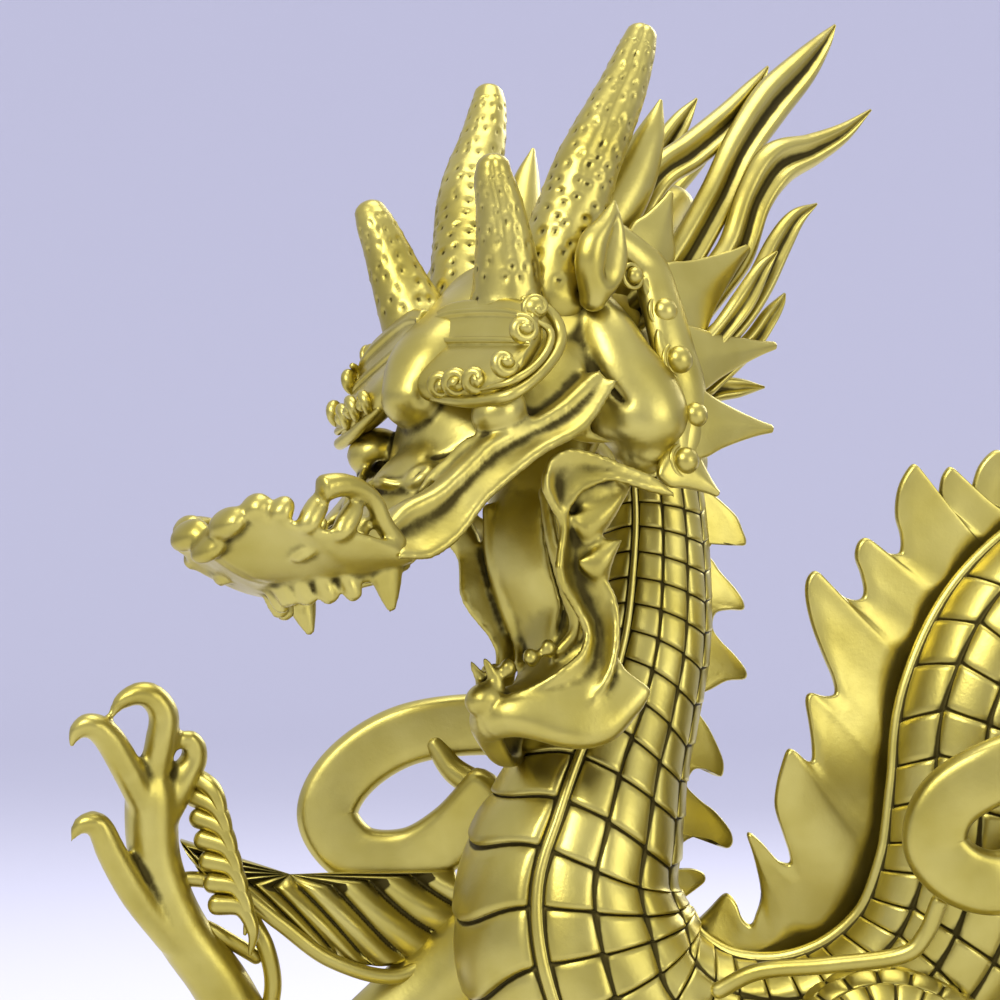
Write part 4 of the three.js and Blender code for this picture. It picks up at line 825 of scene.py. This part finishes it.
# ------------------------------------------------------------------ horns and ears
# Two horns to a side, each cast solid: a long one swept back and a short blunt one in front. Both
# are punched all over with small dents, and a groove runs up to the tip. A cupped ear sits below.


def horn(rows, seed, spacing=4.6, groove=0.13):
    """A tapering horn. Dents lie at the crossings of a net, each shifted at random by up to a third
    of a mesh: a bell-shaped pit with a smaller bell of raised metal on the tip's side."""
    rng = np.random.default_rng(seed)
    length = np.linalg.norm(np.diff(np.array(rows)[:, :3], axis=0), axis=1).sum()
    girth = 2 * math.pi * np.mean(np.array(rows)[:, 3])
    along, across = int(length * 0.9 / spacing), int(girth / spacing)
    i, j = np.meshgrid(np.arange(along), np.arange(across), indexing="ij")
    shift = rng.uniform(-0.33, 0.33, (2, *i.shape))
    places = np.stack([(i + 0.6 + shift[0]) / along * 0.9, (j + i % 2 / 2 + shift[1]) / across], -1).reshape(-1, 2)

    def relief(share, turn):
        """The groove and all the dents, as a share of the radius."""
        swell = 1 - groove * np.exp(-(((turn - 0.135 + 0.5) % 1 - 0.5) / 0.04) ** 2) * ramp(0.2, 0.55, share)
        for at, angle in places:
            d, e = (share - at) * length, ((turn - angle + 0.5) % 1 - 0.5) * girth
            swell = swell - 0.075 * np.exp(-(d / 1.1) ** 2 - (e / 0.75) ** 2)
            swell = swell + 0.035 * np.exp(-((d - 1.5) / 0.8) ** 2 - (e / 1.0) ** 2)
        return swell
    return swept(rows, up=AHEAD, around=76, cell=0.75, relief=relief)


def ear_hollow(share, turn):
    """A cup pressed into the ear's outer face, deepest half-way up."""
    return 1 - 0.8 * np.exp(-(((turn - 0.03 + 0.5) % 1 - 0.5) / 0.075) ** 2) * ramp(0.1, 0.3, share) * ramp(0.95, 0.7, share)


finish_piece(mesh_of("horns_and_ears", on_head(both([
    horn([[-36, 18, 2, 13, 13], [-47, 22, 15, 11.4, 11.4], [-55, 25, 23.5, 10.6, 10.6], [-63, 28, 32, 9.8, 9.8],
          [-73, 31, 40, 8.8, 8.8], [-85, 33, 48.5, 7.4, 7.4], [-95, 35, 57, 5.8, 5.8], [-98.5, 36, 60.5, 4.8, 4.8]], 5),
    horn([[-17, 19, 0, 14, 14], [-19.5, 21, 8, 11, 11], [-22, 23.5, 17, 9.6, 9.6], [-24, 25.5, 25.5, 8.2, 8.2],
          [-26, 27, 34, 7, 7], [-27, 28, 41, 6, 6], [-28, 29, 45, 5, 5]], 9),
    flame([[-64, 22, 12], [-80, 26, 22], [-92, 29, 32], [-101, 30, 40]], 8, 0.8, ROUND),
    swept([[-38, 34, -3, 4, 4], [-42.5, 37, 4, 8.6, 5.5], [-46, 39, 10, 8.6, 5.5], [-50, 41, 15, 5, 4],
           [-54, 42.5, 20.5, 0.7, 0.7]], up=ASIDE, around=72, cell=0.5, relief=ear_hollow),
]))))

# ------------------------------------------------------------------ the snout's plate and the teeth
# Beyond the nose the lip spreads into a scalloped plate, turned up like a shell, with a thick bead
# of wax on each scallop. Under it are the gum, the front teeth and a fang each side; a feeler
# arches over it.
PLATE_ROOT = [[56, 25, -44], [66, 20.5, -43], [76, 16, -40], [83, 9, -36.5], [86, 0, -34]]
PLATE_RIM = [[65, 29, -37], [77, 30, -29], [90, 27.5, -21.5], [95, 22, -15.5], [98, 16, -13], [101, 9, -14],
             [104, 0, -17]]
GUM = [[58, 20.5, -44.5], [68.5, 18, -43], [75.4, 14, -39], [82, 9, -36], [84.5, 4, -34.5], [84.5, 0, -34]]
TEETH = [[75.6, 16, -43, 2.6], [80.3, 11.5, -41, 2.8], [83.2, 6, -39.2, 2.9], [84.4, 1.4, -37.8, 2.2]]


def snout_plate():
    """Half the plate: a surface between a root line and a rim line, sagging by half a sine."""
    out, along = np.linspace(0, 1, 30)[:, None], np.linspace(0, 1, 90)[None]
    root = through(PLATE_ROOT, along * (len(PLATE_ROOT) - 1) + 0 * out)
    rim = through(PLATE_RIM, along * (len(PLATE_RIM) - 1) + 0 * out)
    surface = root + (rim - root) * out[..., None]
    surface[..., 2] -= 3.0 * np.sin(np.pi * out)
    return leaf(surface, 2.6, 30, 90)


def tooth(x, y, z, half):
    """A square-cut tooth under the gum, slightly narrower at its foot."""
    box = [[-1, -0.7], [-0.9, 0.8], [0, 1], [0.9, 0.8], [1, -0.7], [0.8, -1], [-0.8, -1]]
    return swept([[x, y, z + 3, half, 2.6], [x, y, z - 1, half, 2.5], [x + 0.3, y, z - 3.6, half * 0.86, 2]],
                 box, up=AHEAD, around=24, cell=0.6)


LOBES = [[[102.5, 0, -16], [6.5, 7, 3.2]], [[101, 9, -12], [5, 7, 3.6]], [[95, 16, -11.5], [4.5, 5, 4]],
         [[92, 22, -14.5], [4.5, 4, 3.2]], [[86, 27, -19], [7, 3.4, 3.4]], [[78, 30, -25], [7, 3, 3.4]],
         [[84, 18, -26], [8, 6, 3]], [[73, 22, -31], [8, 6, 3]]]
snout = melted("snout_and_teeth", on_head(both([
    snout_plate(),
    *[pebble(centre, radii, tilt=28, boxy=1.15, cell=0.9) for centre, radii in LOBES],
    swept([[*place, 2.8, 2.8] for place in GUM], around=22, cell=0.9),
    *[tooth(*place) for place in TEETH],
    swept([[63, 20, -41, 4.6, 5.4], [65, 20, -45, 4.2, 5], [66.5, 19.5, -50, 3, 3.6], [67.8, 19, -54.5, 1.5, 1.6]],
          up=AHEAD, around=24, cell=0.7),
    swept([[62, 26, -38, 3.2, 3.2], [65.5, 28.5, -31, 2.9, 2.9], [67, 30.5, -24, 2.8, 2.8], [71.5, 32, -18.5, 3, 3],
           [77, 32, -15, 3.5, 3.5], [82.5, 31, -13.5, 4, 4]], up=ASIDE, around=32, cell=0.8, ends=(0.8, 0.3)),
])), 0.8, rounds=2)
finish_piece(snout)

# ------------------------------------------------------------------ the lower jaw
# The jaw hangs open, nearly upright: a scoop with a flat tongue, a lip that folds outwards, spikes
# behind the fold, a leaf-shaped flap at the mouth's corner, and a beard curled under the chin.
LIP_FOLD = [[-3, 27, -39], [1.6, 26, -44.5], [1, 25, -50.5], [-0.5, 24, -57.4], [2, 23, -62.3], [6, 22, -68.2],
            [6.6, 21, -74.2], [4.6, 20, -82], [4.6, 20, -89.3], [9.5, 20, -94.2], [17.5, 18, -96], [25, 13, -97],
            [33, 6, -96]]
FOLD_SHEET = [  # from the lip's rim outwards: the rim, a trough, a bulge, and the jagged back edge
    LIP_FOLD,
    [[-9, 25, -41], [-7, 24, -46], [-7, 22.5, -52], [-6, 21.5, -58], [-4, 21, -63], [-1, 20, -69], [0, 19.5, -75],
     [-1, 19, -83], [0, 19.5, -91], [6, 19.5, -98], [15, 18, -101], [24, 13, -101], [32, 7, -99]],
    [[-13, 28, -45], [-13, 28, -50], [-12, 27.5, -54], [-9, 26, -60], [-7, 25, -65], [-5, 25, -70], [-4, 25, -76],
     [-3.5, 26, -84], [0, 26, -93], [7, 24, -102], [16, 20, -106], [25, 14, -105], [32, 8, -102]],
    [[-16, 29, -45], [-19, 31, -51], [-23, 31.5, -57], [-10, 27, -62], [-8, 27, -66], [-13, 30, -69.5], [-4, 27, -77],
     [-3, 28, -85], [1.5, 27.5, -93], [9, 26, -103], [17, 21, -109], [26, 14, -108], [32, 8, -105]],
]
CORNER_LEAF = [
    [[-1, 26, -44], [-2.6, 27, -39.3], [-8.9, 30, -38.7], [-15.3, 33, -43.9], [-20.6, 36, -50.2], [-26.2, 39, -56.7],
     [-29.5, 41, -63.4]],
    [[-3, 24, -48], [-5, 25, -45.5], [-9, 28, -44.5], [-14, 31, -47.5], [-19, 34.5, -52], [-24, 37.5, -58.5],
     [-29.5, 41, -63.8]],
    [[-0.5, 24, -57.4], [-4.7, 27, -52.4], [-8.8, 30, -50.5], [-14.8, 34, -51], [-18.5, 36, -53.6],
     [-23, 38.5, -58.1], [-29.5, 41, -64.2]],
]
BEARD = [  # from the lip's rim down to the curled hem
    [[36, 0, -96], [33, 7, -97], [25, 13, -99], [15, 18, -101], [6, 21, -101], [0, 23, -99]],
    [[38, 0, -101], [35, 8, -102], [27, 15, -107], [17, 20.5, -110], [8, 23, -108], [1, 25, -104]],
    [[36, 0, -105], [33, 8, -107], [25, 17, -115], [16, 22, -118], [7, 25.5, -114.5], [-1, 28, -110.5]],
    [[31, 0, -105], [29, 5, -108], [22, 13, -117], [13, 19, -120], [4, 24, -117], [-1.5, 28.5, -113]],
]
BLADE = [[0, 1], [0.6, 0.6], [1, 0], [0.6, -0.6], [0, -1], [-0.6, -0.6], [-1, 0], [-0.6, 0.6]]
jaw = melted("lower_jaw", on_head([
    swept([[-36, 0, -34, 20, 12], [-20, 0, -48, 19, 8], [-14, 0, -62, 19, 6], [-11, 0, -78, 19, 6],
           [-3, 0, -93, 17, 7], [14, 0, -103, 13, 8], [28, 0, -101, 8, 7], [33, 0, -96, 5, 5]], up=AHEAD, around=50),
    # the tongue, with a strap beside it on each side
    swept([[-22, -5, -42, 13, 3], [-9, -5, -54, 14, 3.2], [-3, -5, -68, 14, 3.4], [-1, -4, -82, 12, 3],
           [4, -2, -91, 7, 2.5]], up=AHEAD, around=36),
    *both([swept([[-9, 13, -48, 2.6, 1.7], [-3, 14, -62, 2.8, 1.8], [0, 14, -76, 2.8, 1.8], [2, 13, -88, 2.4, 1.6],
                  [10, 8, -93, 1.6, 1.4]], up=AHEAD, around=20),
           leaf(FOLD_SHEET, 2.5, 60, 150),
           thread(LIP_FOLD, 1.4, 0.8),
           leaf(CORNER_LEAF, 2.3, 40, 80),
           thread(CORNER_LEAF[0], 1.1), thread(CORNER_LEAF[2], 1.2),
           swept([[-6, 25, -62, 6, 3], [-12, 28, -60.5, 4.4, 3], [-18, 30, -58.5, 2.6, 2.4], [-23.5, 31.5, -56.8, 1, 1]],
                 BLADE, up=ASIDE, around=24, cell=0.8),
           swept([[-3, 25, -74, 6.5, 3], [-6, 27.5, -72, 4.2, 2.8], [-9.5, 29, -70.5, 2.2, 2], [-13, 30.3, -69.3, 0.9, 0.9]],
                 BLADE, up=ASIDE, around=24, cell=0.8),
           leaf(BEARD, 3.2, 50, 90)]),
    # the chin's knob, the lower front teeth and the small tusk beside them
    pebble([34.5, 0, -94.5], [6, 5.5, 5]),
    *[pebble([x, side, -89.5], [2.8, 2.4, 3.2]) for x, side in [(24, -5), (26, 0), (25, 5), (19, 9), (13, 11)]],
    *both([swept([[30, 3, -93, 2.4, 2.4], [30, 3, -87, 1.6, 1.6], [30.5, 3, -83.5, 0.8, 0.8]], around=14, cell=0.8)]),
]), 0.9, rounds=2)
finish_piece(jaw)

# ------------------------------------------------------------------ the frill
# A collar behind the cheek, with flat spikes fanned round it. A row of round beads, each in a
# punched ring, lies between the spikes and the cheek.
FRILL_SPIKES = [  # two corners at the root, and the tip
    ([-66, 33, 11], [-77, 34, -2], [-86, 34, 15]),
    ([-74, 34, -4], [-67, 37, -27], [-107, 35, -11]),
    ([-66, 37, -23], [-58, 39, -41], [-98, 38, -41.5]),
    ([-58, 39, -41], [-46, 41, -58], [-78, 42, -62.5]),
    ([-47, 41, -55], [-32, 37, -61], [-46, 41.5, -71]),
]
BEADS = [([-54.5, 37.5, -2], 2.6), ([-59, 38.5, -15.5], 4), ([-54, 41, -30], 4.2), ([-50, 42, -46.5], 3.8),
         ([-39.5, 41.5, -57], 4)]
PLATE = [[0, 0.8], [0.5, 0.62], [0.92, 0.35], [1, 0], [0.92, -0.35], [0.5, -0.62], [0, -0.8], [-0.5, -0.62],
         [-0.92, -0.35], [-1, 0], [-0.92, 0.35], [-0.5, 0.62]]


def frill_spike(one, other, tip):
    """A flat blade from a root between two corners to a tip, its edges slightly hollow."""
    one, other, tip = (np.array(corner, float) for corner in (one, other, tip))
    middle = (one + other) / 2
    wide = np.linalg.norm(other - one) / 2
    share = np.array([-0.3, 0, 0.25, 0.5, 0.75, 0.92])
    rows = np.column_stack([middle + (tip - middle) * share[:, None],
                            wide * np.array([1.05, 1.0, 0.68, 0.42, 0.2, 0.09]) + 0.4,
                            np.array([3.4, 3.2, 2.9, 2.4, 1.9, 1.4])])
    return swept(rows, PLATE, up=ASIDE, around=32, cell=1.2)


def ringed_bead(centre, radius):
    """A bead, and the ring punched round it."""
    a = np.linspace(0, 2 * math.pi, 20)
    loop = np.array(centre) + np.stack([np.cos(a) * (radius + 0.9), 0 * a - 1.2, np.sin(a) * (radius + 0.9)], -1)
    return [pebble(centre, [radius, radius * 0.85, radius], cell=0.8), thread(loop, 0.8, 1.0)]


finish_piece(mesh_of("frill", on_head(both([
    swept([[-58, 31, 12, 5, 4], [-65, 33, -2, 6.5, 4.5], [-62, 35, -13, 7, 5], [-58, 36.5, -25, 7.5, 5],
           [-55, 37, -38, 7.5, 5], [-48, 37.5, -50, 7, 5], [-38, 35.5, -60, 5.5, 4]], up=ASIDE, around=36),
    *[frill_spike(*corners) for corners in FRILL_SPIKES],
    *[shell for bead in BEADS for shell in ringed_bead(*bead)],
]))))

# ------------------------------------------------------------------ the mane
# Locks stream back from the head like flames, laid over one another in the wax. Each is broad and
# smooth, hollowed once along its outer face, and swings to a hooked tip.
HOLLOWED = [[-1, 0], [-0.86, 0.6], [-0.5, 0.9], [-0.1, 0.5], [0.2, 0.34], [0.55, 0.85], [0.86, 0.62], [1, 0],
            [0.6, -0.7], [0, -0.9], [-0.6, -0.7]]
LOCKS = [  # forward, left, up, half width
    [[-70, 18, 8, 7], [-91.5, 24, 19.5, 5.4], [-109.6, 24, 21.6, 5.6], [-132.2, 22, 24.8, 5.2], [-148.9, 20, 28.9, 3.6],
     [-161.5, 18, 33.5, 0.4]],
    [[-62, 20, -14, 6.5], [-80, 24, -9, 6.6], [-105.1, 28, 4.6, 6.4], [-125.9, 27, 15.6, 6.4], [-148.9, 24, 23.4, 7],
     [-170.4, 22, 28.3, 5.6], [-186.7, 20, 32.5, 3], [-196, 19, 35.6, 0.4]],
    [[-72, 26, -24, 6], [-90.6, 30, -16, 6.4], [-102.4, 32, -10.4, 6.6], [-115.7, 34, 0.8, 6.5], [-128.8, 36, 7.1, 7],
     [-144.5, 37, 6.2, 5], [-159.5, 38, 6.3, 3], [-175.2, 38, 8.5, 0.4]],
    [[-66, 32, -34, 5], [-84.8, 36, -29, 4.6], [-98.1, 39, -22.3, 4.8], [-111, 41, -14.2, 4.4], [-121.4, 42, -9.6, 3],
     [-132.2, 42, -8.7, 0.4]],
    [[-64, 34, -34, 4], [-76.2, 38, -29.2, 3.6], [-86.8, 42, -23.7, 3.9], [-97.5, 43.5, -18.1, 2.7], [-106, 44, -15.4, 0.4]],
    [[-72, 28, -42, 4], [-90, 33, -37.6, 3.4], [-99.6, 36, -32.9, 3], [-105.5, 37, -30.4, 1.8], [-109, 37, -28.7, 0.4]],
    [[-60, 26, -46, 4.5], [-75, 25, -45, 4], [-84, 28, -48, 3], [-92, 30, -51.5, 0.4]],
]


def lock(rows):
    """A hollowed lock, about half as thick as it is wide."""
    rows = np.array(rows, float)
    return swept(np.column_stack([rows, rows[:, 3] * 0.6 + 0.6]), HOLLOWED, up=ASIDE, around=30, cell=1.4)


def right_side(rows):
    """The same lock on the head's right side, a seventh shorter and set a little lower."""
    rows = np.array(rows, float)
    rows[:, 0] = -60 + (rows[:, 0] + 60) * 0.86
    return rows * (1, -1, 1, 1) - (0, 0, 12, 0)


finish_piece(mesh_of("mane", on_head([
    swept([[-46, 0, -4, 26, 20], [-80, 0, 0, 22, 14], [-112, 0, 8, 13, 8]], around=50),
    lock([[-90, 4, 14, 6], [-110, 8, 23, 5], [-118.8, 9, 27, 4.3], [-126.7, 10, 30.7, 3], [-135.2, 10, 34.1, 0.4]]),
    *[lock(rows) for rows in LOCKS],
    *[lock(right_side(rows)) for rows in LOCKS],
])))

# ------------------------------------------------------------------ the tail's tuft
# The tail ends in three flames, ridged on both sides and soldered to nothing: one casting with it.
RIDGED = [[0, 0.62], [0.5, 0.22], [1, 0], [0.5, -0.22], [0, -0.62], [-0.5, -0.22], [-1, 0], [-0.5, 0.22]]
TUFT = [
    [[203, 22, 206], [192, 24, 238], [197, 24, 264], [187, 25, 289]],
    [[203, 22, 206], [208, 22, 234], [220, 20, 250], [217, 19, 271]],
    [[204, 22, 204], [183, 25, 224], [175, 27, 244], [161, 28, 255]],
]
finish_piece(mesh_of("tail_tuft", [flame(path, 8.5, 1.2, RIDGED, SIDEWAYS) for path in TUFT]))

# ------------------------------------------------------------------ the plinth
# A low cast base with round ends, which the paws stand on: a moulding runs all round it, and a
# row of small beads, pressed into the wax one by one, runs along the hollow of the moulding.
PLINTH_LENGTH, PLINTH_WIDTH, PLINTH_CORNER = 372.0, 150.0, 44.0
PLINTH_PROFILE = [[0, 0.0], [0, 3.9], [0.6, 4.5], [4.5, 6.2], [7.0, 8.2], [8.2, 10.4], [7.2, 12.2], [4.0, 13.6], [3.6, 14.2],
                  [3.6, 17.3], [4.4, 18.0]]


def round_ended_ring(inset, height, corner_steps=16):
    """A level rectangle with round corners, brought in by an inset, as evenly turned points."""
    half_length, half_width = PLINTH_LENGTH / 2 - inset, PLINTH_WIDTH / 2 - inset
    corner = PLINTH_CORNER - inset
    angles = np.concatenate([np.linspace(k, k + 1, corner_steps) for k in range(4)]) * np.pi / 2
    quarter = np.repeat([[1, 1], [-1, 1], [-1, -1], [1, -1]], corner_steps, axis=0)
    x = quarter[:, 0] * (half_length - corner) + corner * np.cos(angles)
    y = quarter[:, 1] * (half_width - corner) + corner * np.sin(angles)
    return np.stack([x, y, np.full(len(x), float(height))], -1)


def plinth_beads(radius=1.5, pitch=4.4, inset=7.4, height=10.3):
    """Beads along the moulding's hollow, spread evenly round the whole ring."""
    ring = round_ended_ring(inset, height)
    ring = np.vstack([ring, ring[:1]])
    walked = np.concatenate([[0], np.cumsum(np.linalg.norm(np.diff(ring, axis=0), axis=1))])
    places = np.linspace(0, walked[-1], round(walked[-1] / pitch), endpoint=False)
    return [pebble([np.interp(at, walked, ring[:, k]) for k in range(3)], [radius] * 3, cell=0.9) for at in places]


profile = through(PLINTH_PROFILE, np.linspace(0, len(PLINTH_PROFILE) - 1, 41))
finish_piece(mesh_of("plinth_block", [
    outward(rings_shell(np.stack([round_ended_ring(inset, height) for inset, height in profile]))),
    *plinth_beads(),
]), node="plinth")

# ------------------------------------------------------------------ camera, floor and light
# A studio: the camera stands level with the dragon's throat, the floor sweeps up into a wall all
# round, and broad soft lights hang over it.
CAMERA_AT = (-0.132, -1.5, 0.255)
camera = bpy.data.objects.new("camera", bpy.data.cameras.new("camera"))
camera.data.lens, camera.data.sensor_width = 180.0, 36.0
camera.location, camera.rotation_euler = CAMERA_AT, (math.pi / 2, 0.0, 0.0)
bpy.context.scene.collection.objects.link(camera)
bpy.context.scene.camera = camera
bpy.context.scene.view_settings.view_transform = "Standard"

FLAT_RADIUS, BEND = 3.8, 1.6
bend = np.linspace(0, np.pi / 2, 24)
sweep_r = np.concatenate([[0.02, 0.5, 1.5, 3.0], FLAT_RADIUS + BEND * np.sin(bend)])
sweep_z = np.concatenate([[0, 0, 0, 0], BEND * (1 - np.cos(bend))])
turn = np.linspace(0, 2 * np.pi, 96, endpoint=False)
sweep = np.stack([sweep_r[:, None] * np.cos(turn), sweep_r[:, None] * np.sin(turn),
                  np.repeat(sweep_z[:, None] - 0.0002, 96, 1)], -1)
index = np.arange(sweep.shape[0] * 96).reshape(-1, 96)
beside = np.roll(index, -1, axis=1)
sweep_mesh = bpy.data.meshes.new("studio_sweep")
sweep_quads = np.stack([index[:-1], index[1:], beside[1:], beside[:-1]], -1).reshape(-1, 4)
sweep_mesh.from_pydata(sweep.reshape(-1, 3).tolist(), [],
                       [list(map(int, q)) for q in sweep_quads] + [[int(i) for i in index[0]]])
sweep_mesh.polygons.foreach_set("use_smooth", np.ones(len(sweep_mesh.polygons), bool))
studio = bpy.data.objects.new("studio_sweep", sweep_mesh)
bpy.context.scene.collection.objects.link(studio)
paper = bpy.data.materials.new("pale lavender paper")
paper.use_nodes = True
paper.node_tree.nodes["Principled BSDF"].inputs["Base Color"].default_value = linear("#dadae6")
paper.node_tree.nodes["Principled BSDF"].inputs["Roughness"].default_value = 0.9
sweep_mesh.materials.append(paper)

world = bpy.data.worlds.new("studio air")
bpy.context.scene.world = world
world.use_nodes = True
world.node_tree.nodes["Background"].inputs["Color"].default_value = linear("#d8d8ea")
world.node_tree.nodes["Background"].inputs["Strength"].default_value = 1.08


def soft_light(name, where, towards, size, watts, tint="#ffffff"):
    """A square soft light that looks from one point towards another."""
    lamp = bpy.data.lights.new(name, "AREA")
    lamp.size, lamp.energy, lamp.color = size, watts, linear(tint)[:3]
    holder = bpy.data.objects.new(name, lamp)
    look = np.array(towards, float) - np.array(where, float)
    holder.location = where
    holder.rotation_euler = (
        math.atan2(math.hypot(look[0], look[1]), -look[2]), 0.0, math.atan2(look[1], look[0]) - math.pi / 2)
    bpy.context.scene.collection.objects.link(holder)


MIDDLE = (-0.05, 0.0, 0.24)
soft_light("key", (-0.9, -1.5, 1.5), MIDDLE, 0.9, 28)
soft_light("fill", (1.5, -1.3, 0.7), MIDDLE, 1.0, 10)
soft_light("top", (0.1, 0.2, 2.0), MIDDLE, 1.1, 17)
soft_light("back", (0.9, 1.6, 1.1), MIDDLE, 0.9, 14)
